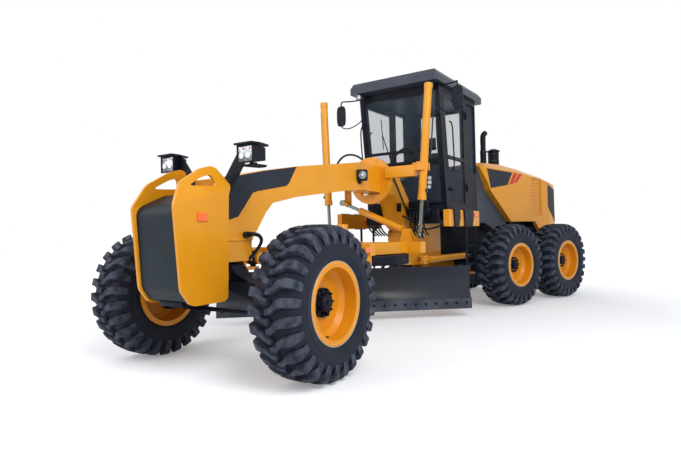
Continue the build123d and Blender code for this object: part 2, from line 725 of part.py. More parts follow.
# Blade section: arc open to the front, from the edge's top up to the blade's top
blade_foot = (-blade_back - 25, blade_low + edge_h - 20)
blade_head = (-blade_back - 20, blade_high)
chord = blade_head[1] - blade_foot[1]
sag = blade_arc_r - sqrt(blade_arc_r ** 2 - (chord / 2) ** 2)
blade_mid = (-blade_back - 22 - sag, (blade_head[1] + blade_foot[1]) / 2)
back_x = blade_mid[0] - blade_t
rail_back = back_x - rail_t
shifter_x = back_x - 6 - shifter_r
shifter_end = blade_shift + blade_len / 2 - 90
shifter_rod_end = 10
rail_low = 320
rail_high = 590
blade_y0 = blade_shift + blade_len / 2
with BuildPart() as moldboard:
    with BuildSketch(side_plane(blade_y0)) as skin:
        with BuildLine():
            ThreePointArc(blade_foot, blade_mid, blade_head)
            Line(blade_head, (blade_head[0] - blade_t, blade_head[1]))
            ThreePointArc((blade_head[0] - blade_t, blade_head[1]), (back_x, blade_mid[1]),
                          (blade_foot[0] - blade_t, blade_foot[1]))
            Line((blade_foot[0] - blade_t, blade_foot[1]), blade_foot)
        make_face()
    extrude(skin.sketch, amount=blade_len)
    # Slide rails on the back, ending on one plane
    for rail_z in (rail_low, rail_high):
        skin_x = blade_mid[0] + blade_arc_r - sqrt((blade_arc_r + blade_t) ** 2
                                                   - (rail_z - blade_mid[1]) ** 2)
        with Locations(((skin_x + 12 + rail_back) / 2, blade_shift, rail_z)):
            Box(skin_x + 12 - rail_back, rail_len, rail_h)
    # Bracket that takes the side-shift cylinder's rod
    with Locations(((back_x + 10 + shifter_x - 30) / 2, shifter_end, shifter_z)):
        Box(back_x + 10 - shifter_x + 30, 50, 90)
    with Locations(Plane(origin=(shifter_x, shifter_end, shifter_z), z_dir=(0, -1, 0))):
        Cylinder(shifter_rod_r, shifter_end - shifter_rod_end, align=CENTRE_MIN)
moldboard.part.move(BLADE)
moldboard.part.move(STAND)
moldboard.part.label = "moldboard"
export_step(moldboard.part, "parts/moldboard.step")

with BuildPart() as cutting_edge:
    with Locations((blade_foot[0] + edge_t / 2 + seat_gap, blade_shift, blade_low + edge_h / 2)):
        Box(edge_t, blade_len, edge_h)
cutting_edge.part.move(BLADE)
cutting_edge.part.move(STAND)
cutting_edge.part.label = "cutting_edge"
export_step(cutting_edge.part, "parts/cutting_edge.step")

# Carrier: two slide brackets on the rails, the side-shift cylinder and a tube between them
with BuildPart() as blade_carrier:
    jaw_x = rail_back - slide_gap
    for sign in (1, -1):
        with Locations(((jaw_x + tip_x + 30) / 2, sign * carrier_y, (rail_low + rail_high) / 2)):
            Box(jaw_x - tip_x - 30, 90, rail_high - rail_low + rail_h + 60)
        for rail_z in (rail_low, rail_high):
            for end in (1, -1):
                with Locations((jaw_x + 6, sign * carrier_y,
                                rail_z + end * (rail_h / 2 + slide_gap + 10))):
                    Box(32, 90, 20)
        with Locations(Plane(origin=(tip_x, sign * (carrier_y + 45), tip_z), z_dir=(0, -sign, 0))):
            Cylinder(tip_pin_r, carrier_y + 45 - arm_y + arm_t / 2, align=CENTRE_MIN)
        with Locations((tip_x + 20, sign * carrier_y, tip_z)):
            Box(100, 90, 90)
    with Locations((jaw_x - 26, 0, rail_low + 20)):
        Box(40, 2 * carrier_y, 60)
    with Locations(Plane(origin=(shifter_x, -shifter_half, shifter_z), z_dir=(0, 1, 0))):
        Cylinder(shifter_r, 2 * shifter_half, align=CENTRE_MIN)
    with Locations(Plane(origin=(shifter_x, 40 - shifter_half, shifter_z), z_dir=(0, 1, 0))):
        Cylinder(shifter_rod_r + seat_gap, 2 * shifter_half, align=CENTRE_MIN, mode=Mode.SUBTRACT)
blade_carrier.part.move(BLADE)
blade_carrier.part.move(STAND)
blade_carrier.part.label = "blade_carrier"
export_step(blade_carrier.part, "parts/blade_carrier.step")


# Cylinders: each has a bored barrel with its pin and a rod with its eye
def barrel_body(start, end, radius, bore, gland):
    """Tube from start (closed) to end, with a gland that guides a rod of gland radius."""
    length = span(start, end)
    with BuildPart() as tube:
        with BuildSketch(along(start, end)):
            Circle(radius)
        extrude(amount=length)
        with BuildSketch(along(point_at(start, end, 40), end)):
            Circle(bore)
        extrude(amount=length - 40 - 60, mode=Mode.SUBTRACT)
        with BuildSketch(along(point_at(start, end, length - 70), end)):
            Circle(gland + seat_gap)
        extrude(amount=75, mode=Mode.SUBTRACT)
    return tube.part


for side, sign in SIDES:
    pin = (trunnion[0], sign * trunnion[1], trunnion[2])
    eye = (lift_eye[0], sign * lift_eye[1], lift_eye[2])
    top = point_at(pin, eye, -lift_barrel_up)
    gland = point_at(pin, eye, lift_barrel_down)
    lift_tube = barrel_body(top, gland, barrel_r, barrel_r - 13, rod_r)
    with BuildPart() as lift_barrel:
        add(lift_tube)
        for end in (1, -1):
            with Locations(Plane(origin=(pin[0] + end * (barrel_r - 8), pin[1], pin[2]),
                                 z_dir=(end, 0, 0))):
                Cylinder(22, yoke_x + 24 - barrel_r + 8, align=CENTRE_MIN)
    lift_barrel.part.move(STAND)
    lift_barrel.part.label = f"lift_barrel_{side}"
    export_step(lift_barrel.part, f"parts/lift_barrel_{side}.step")

    with BuildPart() as lift_rod:
        inner_end = point_at(eye, pin, span(eye, pin) + 350)
        with BuildSketch(along(eye, inner_end)):
            Circle(rod_r)
        extrude(amount=span(eye, inner_end))
        with BuildSketch(along(point_at(eye, inner_end, span(eye, inner_end) - 60), inner_end)):
            Circle(barrel_r - 13 - seat_gap)
        extrude(amount=60)
        with Locations(eye):
            Sphere(ball_eye_r)
    lift_rod.part.move(STAND)
    lift_rod.part.label = f"lift_rod_{side}"
    export_step(lift_rod.part, f"parts/lift_rod_{side}.step")

shift_gland = point_at(shift_pin, shift_eye, span(shift_pin, shift_eye) - 330)
shift_start = point_at(shift_pin, shift_eye, 78)
shift_tube = barrel_body(shift_start, shift_gland, shift_barrel_r, shift_barrel_r - 12, rod_r)
with BuildPart() as shift_barrel:
    add(shift_tube)
    with BuildSketch(along(point_at(shift_pin, shift_eye, 0), shift_eye)):
        Rectangle(eye_t, 40)
    extrude(amount=90)
    with Locations(shift_pin):
        Cylinder(eye_r, eye_t, rotation=(0, 90, 0))
        Cylinder(18 + seat_gap, eye_t + 2, rotation=(0, 90, 0), mode=Mode.SUBTRACT)
shift_barrel.part.move(STAND)
shift_barrel.part.label = "shift_barrel"
export_step(shift_barrel.part, "parts/shift_barrel.step")

with BuildPart() as shift_rod:
    rod_inner = point_at(shift_eye, shift_pin, 700)
    with BuildSketch(along(shift_eye, shift_pin)):
        Circle(rod_r)
    extrude(amount=700)
    with BuildSketch(along(point_at(shift_eye, shift_pin, 650), shift_pin)):
        Circle(shift_barrel_r - 12 - seat_gap)
    extrude(amount=50)
    with Locations(shift_eye):
        Cylinder(eye_r, eye_t, rotation=(0, 90, 0))
shift_rod.part.move(STAND)
shift_rod.part.label = "shift_rod"
export_step(shift_rod.part, "parts/shift_rod.step")

for side, sign in SIDES:
    lug = (artic_lug[0], sign * artic_lug[1], artic_lug[2])
    eye_local = REAR * Location((-artic_eye_back, sign * artic_eye_y, artic_lug[2]))
    eye = tuple(eye_local.position)
    gland = point_at(lug, eye, 1310)
    artic_tube = barrel_body(point_at(lug, eye, 145), gland, artic_barrel_r, artic_barrel_r - 12, rod_r)
    with BuildPart() as artic_barrel:
        add(artic_tube)
        with BuildSketch(along(lug, eye)):
            Rectangle(eye_t, eye_t)
        extrude(amount=150)
        with Locations(lug):
            Cylinder(eye_r, eye_t)
            Cylinder(spindle_r / 2 + seat_gap, eye_t + 2, mode=Mode.SUBTRACT)
    artic_barrel.part.move(STAND)
    artic_barrel.part.label = f"artic_barrel_{side}"
    export_step(artic_barrel.part, f"parts/artic_barrel_{side}.step")

    with BuildPart() as artic_rod:
        with BuildSketch(along(eye, lug)):
            Circle(rod_r)
        extrude(amount=1100)
        with BuildSketch(along(point_at(eye, lug, 1050), lug)):
            Circle(artic_barrel_r - 12 - seat_gap)
        extrude(amount=50)
        with Locations(eye):
            Cylinder(eye_r, eye_t)
    artic_rod.part.move(STAND)
    artic_rod.part.label = f"artic_rod_{side}"
    export_step(artic_rod.part, f"parts/artic_rod_{side}.step")


# Cab: hollow, on a base plate over the hitch box
CAB_PLAN = [(60, cab_half), (cab_back_x + 120, cab_half), (cab_back_x, cab_half - 250),
            (cab_back_x, 250 - cab_half), (cab_back_x + 120, -cab_half), (60, -cab_half)]
CAB_SIDE = [(cab_foot_x, cab_floor_z), (-140, cab_waist_z), (cab_head_x, cab_eave_z),
            (cab_back_x, cab_eave_z), (cab_back_x, cab_floor_z)]
door_low = 1590
door_high = cab_eave_z - 78
PILLAR_BACK = [(-350, door_low), (-235, cab_waist_z), (-120, door_high)]
FRONT_PANES = ((1700, 2290), (2360, cab_eave_z - 130))
quarter = (2220, cab_eave_z - 90)
rear_pane = (2350, cab_eave_z - 120)


def cab_block(inset):
    """The cab's outer shape, moved inwards by inset."""
    with BuildPart() as block:
        with BuildSketch(Plane.XY.offset(cab_floor_z)):
            with BuildLine():
                Polyline(*CAB_PLAN, close=True)
            make_face()
            offset(amount=-inset, kind=Kind.INTERSECTION)
        extrude(amount=cab_eave_z - cab_floor_z)
        with BuildSketch(side_plane(0)):
            with BuildLine():
                Polyline(*CAB_SIDE, close=True)
            make_face()
            offset(amount=-inset, kind=Kind.INTERSECTION)
        extrude(amount=cab_half, both=True, mode=Mode.INTERSECT)
    return block.part


cab_room = cab_block(cab_wall)
cab_shell = cab_block(0)
door_half_t = 45
hinge_x = door_back - door_gap / 2
hinge_r = 14
hinge_y = cab_half + hinge_r + 1
cab_inner_z = cab_floor_z + cab_wall + seat_gap
DOOR = [(PILLAR_BACK[0][0] - door_gap, door_low + door_gap), (PILLAR_BACK[1][0] - door_gap, cab_waist_z),
        (PILLAR_BACK[2][0] - door_gap, door_high - door_gap), (door_back + door_gap, door_high - door_gap),
        (door_back + door_gap, door_low + door_gap)]
door_rail_z = 2400
door_rail_h = 50
DOOR_PANE = [(-425, 1700), (-320, cab_waist_z + 20), (-215, door_high - 82), (-1020, door_high - 82),
             (-1020, 1700)]

with BuildPart() as cab_body:
    add(cab_shell)
    add(cab_room, mode=Mode.SUBTRACT)
    # Door openings and rear quarter windows
    for sign in (1, -1):
        extrude(outline(side_plane(sign * (cab_half + 1)), PILLAR_BACK + [(door_back, door_high), (door_back, door_low)]),
                amount=sign * (cab_wall + 20), mode=Mode.SUBTRACT)
        with Locations((-1370, sign * cab_half, sum(quarter) / 2)):
            Box(380, 3 * cab_wall, quarter[1] - quarter[0], mode=Mode.SUBTRACT)
    # Windscreen, lower front window and rear window
    for low, high in FRONT_PANES:
        with Locations((-100, 0, (low + high) / 2)):
            Box(400, 2 * (cab_half - 75), high - low, mode=Mode.SUBTRACT)
    with Locations((cab_back_x, 0, sum(rear_pane) / 2)):
        Box(3 * cab_wall, 2 * (cab_half - 310), rear_pane[1] - rear_pane[0], mode=Mode.SUBTRACT)
    # Base plate
    with Locations((-910, 0, (hitch_top + seat_gap + cab_floor_z) / 2)):
        Box(1160, 2 * base_half, cab_floor_z - hitch_top - seat_gap)
    # Hinge halves
    for sign in (1, -1):
        for hinge_z in (1900, 3100):
            with Locations((hinge_x, sign * hinge_y, hinge_z)):
                Cylinder(hinge_r, 60, align=CENTRE_MIN)
            with Locations((hinge_x - 25, sign * (cab_half + 6), hinge_z + 30)):
                Box(50, 14, 60)
cab_body.part.move(STAND)
cab_body.part.label = "cab_body"
export_step(cab_body.part, "parts/cab_body.step")

with BuildPart() as cab_roof:
    with BuildSketch(Plane.XY.offset(cab_eave_z)):
        with Locations(((roof_front + roof_back) / 2, 0)):
            Rectangle(roof_front - roof_back, 2 * roof_half)
        chamfer(vertices(), roof_corner)
    extrude(amount=100)
    with BuildSketch(Plane.XY.offset(cab_eave_z + 100)):
        with Locations(((roof_front + roof_back) / 2, 0)):
            Rectangle(roof_front - roof_back, 2 * roof_half)
        chamfer(vertices(), roof_corner)
    extrude(amount=roof_top - cab_eave_z - 100, taper=35)
    # Work lamps under the front edge
    for sign in (1, -1):
        with Locations((roof_front - 85, sign * roof_lamp_y, cab_eave_z - 50)):
            Cylinder(50, 90, rotation=(0, 90, 0))
        with Locations((roof_front - 100, sign * roof_lamp_y, cab_eave_z - 25)):
            Box(50, 60, 52)
    # Holes for a beacon
    with Locations((beacon_x, beacon_y, roof_top)):
        with PolarLocations(beacon_pcd / 2, 3):
            Hole(beacon_hole_r, depth=30)
cab_roof.part.move(STAND)
cab_roof.part.label = "cab_roof"
export_step(cab_roof.part, "parts/cab_roof.step")

with BuildPart() as cab_glass:
    for low, high in FRONT_PANES:
        with BuildSketch(side_plane(0)):
            with BuildLine():
                slope = [(cab_foot_x, cab_floor_z), (-140, cab_waist_z), (cab_head_x, cab_eave_z)]
                Polyline(*[(x - 20, z) for x, z in slope], *[(x - 20 - glass_t, z) for x, z in reversed(slope)],
                         close=True)
            make_face()
            with Locations((-100, (low + high) / 2)):
                Rectangle(600, high - low - 2 * seat_gap, mode=Mode.INTERSECT)
        extrude(amount=cab_half - 75 - seat_gap, both=True)
    for sign in (1, -1):
        with Locations((-1370, sign * (cab_half - 25), sum(quarter) / 2)):
            Box(380 - 2 * seat_gap, glass_t, quarter[1] - quarter[0] - 2 * seat_gap)
    with Locations((cab_back_x + 25, 0, sum(rear_pane) / 2)):
        Box(glass_t, 2 * (cab_half - 310) - 2 * seat_gap, rear_pane[1] - rear_pane[0] - 2 * seat_gap)
cab_glass.part.move(STAND)
cab_glass.part.label = "cab_glass"
export_step(cab_glass.part, "parts/cab_glass.step")

for side, sign in SIDES:
    with BuildPart() as door:
        extrude(outline(side_plane(sign * cab_half), DOOR), amount=sign * door_half_t)
        extrude(outline(side_plane(sign * cab_half), DOOR_PANE), amount=sign * door_half_t,
                mode=Mode.SUBTRACT)
        with Locations((-700, sign * (cab_half - door_half_t / 2), door_rail_z)):
            Box(760, door_half_t, door_rail_h)
        for hinge_z in (1900, 3100):
            with Locations((hinge_x, sign * hinge_y, hinge_z + 61)):
                Cylinder(hinge_r, 60, align=CENTRE_MIN)
            with Locations((hinge_x + 28, sign * (cab_half + 6), hinge_z + 91)):
                Box(56, 12, 60)
        with Locations((-440, sign * (cab_half + 16), 1900)):
            Box(150, 32, 36)
    door.part.move(STAND)
    door.part.label = f"door_{side}"
    export_step(door.part, f"parts/door_{side}.step")

    # Upper and lower pane, seated in the door's frame on each side of its rail
    with BuildPart() as door_glass:
        with BuildSketch(side_plane(sign * (cab_half - door_half_t / 2))) as panes:
            with BuildLine():
                Polyline(*DOOR_PANE, close=True)
            make_face()
            offset(amount=-seat_gap, kind=Kind.INTERSECTION)
            with Locations((-700, door_rail_z)):
                Rectangle(800, door_rail_h + 2 * seat_gap, mode=Mode.SUBTRACT)
        extrude(panes.sketch, amount=glass_t / 2, both=True)
    door_glass.part.move(STAND)
    door_glass.part.label = f"door_glass_{side}"
    export_step(door_glass.part, f"parts/door_glass_{side}.step")

with BuildPart() as seat:
    with Locations((-1050, 0, 1790)):
        Box(480, 480, 130)
    with Locations((-1050, 0, cab_inner_z)):
        Cylinder(130, 140, align=CENTRE_MIN)
    with Locations(Plane(origin=(-1270, 0, 1840), z_dir=(-0.17, 0, 0.985))):
        Box(110, 460, 620, align=CENTRE_MIN)
    with Locations(Plane(origin=(-1377, 0, 2450), z_dir=(-0.17, 0, 0.985))):
        Box(90, 260, 180, align=CENTRE_MIN)
    for sign in (1, -1):
        with Locations((-1060, sign * 285, 2020)):
            Box(360, 70, 60)
        with Locations((-1180, sign * 265, 1920)):
            Box(60, 60, 200)
seat.part.move(STAND)
seat.part.label = "seat"
export_step(seat.part, "parts/seat.step")

wheel_spot = Plane(origin=(-660, 0, 2380), z_dir=(-0.5, 0, 0.866))
with BuildPart() as console:
    with Locations((-560, 0, cab_inner_z)):
        Box(160, 260, 400, align=CENTRE_MIN)
    with BuildSketch(along((-560, 0, 1950), (-660, 0, 2380))):
        Circle(50)
    extrude(amount=span((-560, 0, 1950), (-660, 0, 2380)))
    with Locations(wheel_spot):
        Torus(205, 15)
        Cylinder(60, 24)
        for spoke in (0, 120, 240):
            with Locations(Location((0, 0, 0), (0, 0, spoke))):
                Box(205, 30, 14, align=(Align.MIN, Align.CENTER, Align.CENTER))
    for sign in (1, -1):
        with Locations((-800, sign * 330, cab_inner_z)):
            Box(420, 120, 380, align=CENTRE_MIN)
console.part.move(STAND)
console.part.label = "console"
export_step(console.part, "parts/console.step")

box_in = 860
box_out = 950
with BuildPart() as side_boxes:
    for sign in (1, -1):
        with Locations((-305, sign * (box_in + box_out) / 2, 1440)):
            Box(1250, box_out - box_in, 240)
            Box(1190, box_out - box_in - 60, 180, mode=Mode.SUBTRACT)
        with Locations((-600, sign * (base_half + seat_gap + box_in) / 2, 1490)):
            Box(500, box_in - base_half - seat_gap, 60)
side_boxes.part.move(STAND)
side_boxes.part.label = "side_boxes"
export_step(side_boxes.part, "parts/side_boxes.step")

with BuildPart() as steps:
    for sign in (1, -1):
        for bar_x in (-375, -785):
            with Locations((bar_x, sign * 930, 880)):
                Box(50, 16, 880)
        for rung_z in (460, 740, 1020):
            with Locations((-580, sign * 900, rung_z)):
                Box(430, 90, 30)
steps.part.move(STAND)
steps.part.label = "steps"
export_step(steps.part, "parts/steps.step")

mirror_out = 320
mirror_back = -80
mirror_x = 72
mirror_z = cab_eave_z - 30
mirror_arm_r = 12
with BuildPart() as mirrors:
    for sign in (1, -1):
        mirror_y = cab_half + mirror_out
        arms = [((mirror_back, sign * (cab_half + seat_gap), mirror_z), (0, sign, 0), mirror_out),
                ((mirror_back - mirror_arm_r, sign * mirror_y, mirror_z), (1, 0, 0), mirror_x - mirror_back),
                ((mirror_x - mirror_arm_r, sign * mirror_y, mirror_z + mirror_arm_r), (0, 0, -1), 400)]
        for start, way, length in arms:
            with Locations(Plane(origin=start, z_dir=way)):
                Cylinder(mirror_arm_r, length, align=CENTRE_MIN)
        with Locations((mirror_x - mirror_arm_r - 15, sign * mirror_y, mirror_z - 250)):
            Box(40, 170, 340)
mirrors.part.move(STAND)
mirrors.part.label = "mirrors"
export_step(mirrors.part, "parts/mirrors.step")


# Rear frame, straight in its own axes and then swung about the pivot
lug_low = hitch_bottom + fork_t + move_gap
lug_high = hitch_top - fork_t - move_gap
with BuildPart() as rear_frame:
    FRAME_SIDE = [(-200, lug_low), (-200, lug_high), (-900, lug_high), (-1200, rear_top),
                  (-2950, rear_top), (rear_end, 1180), (rear_end, 840), (-2700, rear_low),
                  (-280, rear_low), (-280, lug_low)]
    extrude(outline(side_plane(0), FRAME_SIDE), amount=rear_half - 40, both=True)
    for plate_z in (lug_low, lug_high - fork_t):
        with BuildSketch(Plane.XY.offset(plate_z)) as lug_plate:
            Circle(fork_r)
            with Locations((-150, 0)):
                Rectangle(300, 2 * fork_r)
            Circle(pivot_pin_r + seat_gap, mode=Mode.SUBTRACT)
        extrude(lug_plate.sketch, amount=fork_t)
    # Rear axle housing
    with Locations((-tandem_back, 0, tyre_r)):
        Cylinder(150, 2 * (tandem_y - tandem_half), rotation=(90, 0, 0))
        Cylinder(230, 420, rotation=(0, 90, 0))
    with Locations((-tandem_back, 0, 790)):
        Box(300, 520, 120)
    # Cross members that carry the hood's side walls
    for member_x, member_low, member_high in ((-1635, 1200, 1460), (-2962, 1180, 1390)):
        with Locations((member_x, 0, member_low)):
            Box(54, 2 * (hood_half - 70 - seat_gap), member_high - member_low, align=CENTRE_MIN)
    # Tow clevis
    for end in (1, -1):
        with Locations(((rear_end + tow_x - 50) / 2, 0, tow_z + end * (tow_gap + tow_t) / 2)):
            Box(rear_end - tow_x + 50, 140, tow_t)
    with Locations((tow_x, 0, tow_z)):
        Cylinder(hitch_pin_r, tow_gap + 3 * tow_t, mode=Mode.SUBTRACT)
    # Ears for the articulation cylinders' rod ends
    for sign in (1, -1):
        for ear_z in (artic_lug[2] + eye_t / 2 + move_gap, artic_lug[2] - eye_t / 2 - move_gap - 30):
            with BuildSketch(Plane.XY.offset(ear_z)) as ear:
                with BuildLine():
                    Polyline((-artic_eye_back + 50, sign * (artic_eye_y + 50)),
                             (-artic_eye_back + 50, sign * (rear_half - 60)),
                             (-artic_eye_back - 160, sign * (rear_half - 60)),
                             (-artic_eye_back - 160, sign * (artic_eye_y + 20)),
                             (-artic_eye_back - 50, sign * (artic_eye_y + 50)), close=True)
                make_face()
            extrude(ear.sketch, amount=30)
rear_frame.part.move(REAR)
rear_frame.part.move(STAND)
rear_frame.part.label = "rear_frame"
export_step(rear_frame.part, "parts/rear_frame.step")

with BuildPart() as tandem_cases:
    for sign in (1, -1):
        with BuildSketch(side_plane(sign * tandem_y)) as case:
            with Locations((-tandem_back, tyre_r)):
                SlotCenterToCenter(tandem_spacing, tandem_h)
        extrude(case.sketch, amount=tandem_half, both=True)
        for step in (1, -1):
            hub_x = -tandem_back + step * tandem_spacing / 2
            with Locations(Plane(origin=(hub_x, sign * tandem_y, tyre_r), z_dir=(0, sign, 0))):
                Cylinder(axle_tube_r, rear_y - hub_in - move_gap - tandem_y, align=CENTRE_MIN)
                Cylinder(spindle_r, rear_y + hub_out - 40 - tandem_y, align=CENTRE_MIN)
tandem_cases.part.move(REAR)
tandem_cases.part.move(STAND)
tandem_cases.part.label = "tandem_cases"
export_step(tandem_cases.part, "parts/tandem_cases.step")

HOOD_SIDE = [(-680, 2480), (rear_end + 18, 2480), (rear_end - 70, 1430), (rear_end - 50, 1340), (-2550, 1210),
             (-2380, 1400), (-1570, 1400), (-950, 1960)]
grille_half = hood_half - 110
GRILLE_SIDE = [(rear_end + 10, 2060), (rear_end - 8, 2060), (rear_end - 59, 1460), (rear_end - 39, 1460)]
# Cross-sections of the hood: x, half width, height of the side's top, half width and height of the crown
HOOD_ROWS = [
    (-690, hood_front_half, 2385, 330, 2440),
    (-870, hood_half, 2368, 400, 2462),
    (-1400, hood_half, 2345, 400, 2465),
    (-1940, hood_half, 2312, 400, 2415),
    (-2780, hood_half, 2200, 410, 2290),
    (rear_end + 250, hood_half, 2180, 410, 2265),
    (rear_end - 90, hood_half - 62, 2120, 390, 2160),
]
exhaust_at = (-1120, 300)
exhaust_foot = 2474
intake_at = (-1860, 0)
intake_foot = 2440
with BuildPart() as hood:
    sections = [outline(cross_plane(x), mirrored([(half, 1200), (half, side_top), (crown, crown_top)]))
                for x, half, side_top, crown, crown_top in HOOD_ROWS]
    for near, far in zip(sections, sections[1:]):
        loft([near, far], ruled=True)
    extrude(outline(side_plane(0), HOOD_SIDE), amount=hood_half + 10, both=True, mode=Mode.INTERSECT)
    HOOD_ROOM = [(-980, 2315), (-1940, 2265), (-2780, 2165), (rear_end + 25, 2120), (rear_end - 35, 1200), (-1600, 1200),
                 (-1600, 1430)]
    extrude(outline(side_plane(0), HOOD_ROOM), amount=hood_half - 70, both=True, mode=Mode.SUBTRACT)
    # Flat seats for the exhaust and the air intake
    for (seat_x, seat_y), foot, radius in ((exhaust_at, exhaust_foot, 66), (intake_at, intake_foot, 118)):
        with Locations((seat_x, seat_y, foot)):
            Cylinder(radius, 70, align=(Align.CENTER, Align.CENTER, Align.MAX))
    with Locations((rear_end - 40, 0, 1760)):
        Box(200, 2 * grille_half, 600 + 2 * seat_gap, mode=Mode.SUBTRACT)
    # Louvre recesses in both sides, with slats across them
    for sign in (1, -1):
        with Locations((louvre_x, sign * hood_half, louvre_z)):
            Box(louvre_len, 2 * louvre_deep, louvre_tall, mode=Mode.SUBTRACT)
        for slat in range(louvre_count):
            slat_z = louvre_z - louvre_tall / 2 + (slat + 0.5) * louvre_tall / louvre_count
            with Locations((louvre_x, sign * (hood_half - louvre_deep + 4), slat_z)):
                Box(louvre_len, louvre_deep, louvre_t)
hood.part.move(REAR)
hood.part.move(STAND)
hood.part.label = "hood"
export_step(hood.part, "parts/hood.step")

with BuildPart() as fairing:
    fairing_foot = lug_high + seat_gap
    FAIRING_SIDE = [(-668, fairing_foot), (-668, 2375), (-722, 2375), (-940, 1960), (-1560, 1400),
                    (-1560, rear_top + seat_gap), (-1200, rear_top + seat_gap), (-900, fairing_foot)]
    extrude(outline(side_plane(0), FAIRING_SIDE), amount=hood_front_half - 20, both=True)
fairing.part.move(REAR)
fairing.part.move(STAND)
fairing.part.label = "fairing"
export_step(fairing.part, "parts/fairing.step")

with BuildPart() as engine_block:
    with Locations((-2300, 0, rear_top + seat_gap)):
        Box(*engine, align=CENTRE_MIN)
engine_block.part.move(REAR)
engine_block.part.move(STAND)
engine_block.part.label = "engine_block"
export_step(engine_block.part, "parts/engine_block.step")

with BuildPart() as rear_grille:
    extrude(outline(side_plane(0), GRILLE_SIDE), amount=grille_half - seat_gap, both=True)
    for bar in range(grille_bars):
        along_grille = (bar + 0.5) / grille_bars
        with Locations((rear_end - 10 - 51 * along_grille, 0, 2060 - 600 * along_grille)):
            Box(24, 2 * (grille_half - 12), 18)
    with Locations((rear_end - seat_gap - 30, 0, 1110)):
        Box(60, 2 * hood_half - 120, 130)
rear_grille.part.move(REAR)
rear_grille.part.move(STAND)
rear_grille.part.label = "rear_grille"
export_step(rear_grille.part, "parts/rear_grille.step")

with BuildPart() as stacks:
    # Exhaust pipe, and the air pre-cleaner under its cap
    with Locations((*exhaust_at, exhaust_foot + seat_gap)):
        Cylinder(56, 240, align=CENTRE_MIN)
        Cylinder(48, 400, align=CENTRE_MIN)
    with Locations((*intake_at, intake_foot + seat_gap)):
        Cylinder(105, 345, align=CENTRE_MIN)
    with Locations((*intake_at, intake_foot + 344)):
        Cylinder(126, 22, align=CENTRE_MIN)
    with Locations((*intake_at, intake_foot + 366)):
        Cone(126, 50, 34, align=CENTRE_MIN)
stacks.part.move(REAR)
stacks.part.move(STAND)
stacks.part.label = "stacks"
export_step(stacks.part, "parts/stacks.step")
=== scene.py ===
import json
import math

import bmesh
import bpy
from mathutils import Matrix, Vector


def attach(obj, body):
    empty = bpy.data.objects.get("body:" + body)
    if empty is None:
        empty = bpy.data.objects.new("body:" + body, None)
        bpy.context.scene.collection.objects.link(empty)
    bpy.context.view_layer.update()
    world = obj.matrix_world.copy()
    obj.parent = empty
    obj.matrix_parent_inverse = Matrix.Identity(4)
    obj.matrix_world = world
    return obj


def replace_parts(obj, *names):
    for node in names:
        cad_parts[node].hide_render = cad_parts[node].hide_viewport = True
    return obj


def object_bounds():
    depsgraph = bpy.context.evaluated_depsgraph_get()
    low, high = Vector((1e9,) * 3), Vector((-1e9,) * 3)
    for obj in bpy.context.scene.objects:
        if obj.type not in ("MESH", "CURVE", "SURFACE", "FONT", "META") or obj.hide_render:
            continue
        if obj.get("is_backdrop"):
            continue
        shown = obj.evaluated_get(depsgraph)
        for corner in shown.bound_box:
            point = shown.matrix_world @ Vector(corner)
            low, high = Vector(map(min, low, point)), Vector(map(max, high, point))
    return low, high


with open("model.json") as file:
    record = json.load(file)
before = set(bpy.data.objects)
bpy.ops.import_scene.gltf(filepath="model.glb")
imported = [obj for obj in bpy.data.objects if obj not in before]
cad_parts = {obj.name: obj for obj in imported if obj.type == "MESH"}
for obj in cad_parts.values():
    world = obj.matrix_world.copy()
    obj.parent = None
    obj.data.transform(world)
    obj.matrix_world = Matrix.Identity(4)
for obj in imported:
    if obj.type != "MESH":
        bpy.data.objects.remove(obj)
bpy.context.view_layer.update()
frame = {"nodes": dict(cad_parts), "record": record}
nodes = frame["nodes"]
scene = bpy.context.scene

# Places below are in line with the front frame, metres; STAND takes them to the part's own origin
STAND = Matrix.Translation((-0.041, -0.150, 0))
STRAIGHT = Matrix.Identity(4)

# Camera at the photograph's place
EYE = STAND @ Vector((7.282, 3.768, 1.262))
YAW, PITCH, ROLL = math.radians(213.792), math.radians(-0.796), math.radians(-1.291)
FOCAL_PX, IMAGE_W, SENSOR_MM = 524.083, 681, 36

forward = Vector((math.cos(YAW) * math.cos(PITCH), math.sin(YAW) * math.cos(PITCH), -math.sin(PITCH)))
level = forward.cross(Vector((0, 0, 1))).normalized()
upright = level.cross(forward)
cam_right = math.cos(ROLL) * level + math.sin(ROLL) * upright
cam_up = -math.sin(ROLL) * level + math.cos(ROLL) * upright
cam_data = bpy.data.cameras.new("camera")
cam_data.sensor_width = SENSOR_MM
cam_data.lens = SENSOR_MM * FOCAL_PX / IMAGE_W
cam_data.clip_end = 200
camera = bpy.data.objects.new("camera", cam_data)
scene.collection.objects.link(camera)
turn = Matrix((cam_right, cam_up, -forward)).transposed()
camera.matrix_world = Matrix.Translation(EYE) @ turn.to_4x4()
scene.camera = camera
scene.view_settings.view_transform = "Standard"

# Rear frame's own axes at the articulation pivot, and the blade's at the circle's centre, each swung as posed
PIVOT = Vector((-1.21, 0, 0))
REAR = Matrix.Translation(PIVOT) @ Matrix.Rotation(math.radians(-17.5), 4, "Z")
BLADE = Matrix.Translation((1.19, 0, 0)) @ Matrix.Rotation(math.radians(40.4), 4, "Z")
SIDES = (("left", 1), ("right", -1))


# Materials
COAT_ROUGH, GRAIN_DEPTH = 0.12, 0.002


def new_material(name):
    material = bpy.data.materials.new(name)
    material.use_nodes = True
    return material, material.node_tree, material.node_tree.nodes["Principled BSDF"]


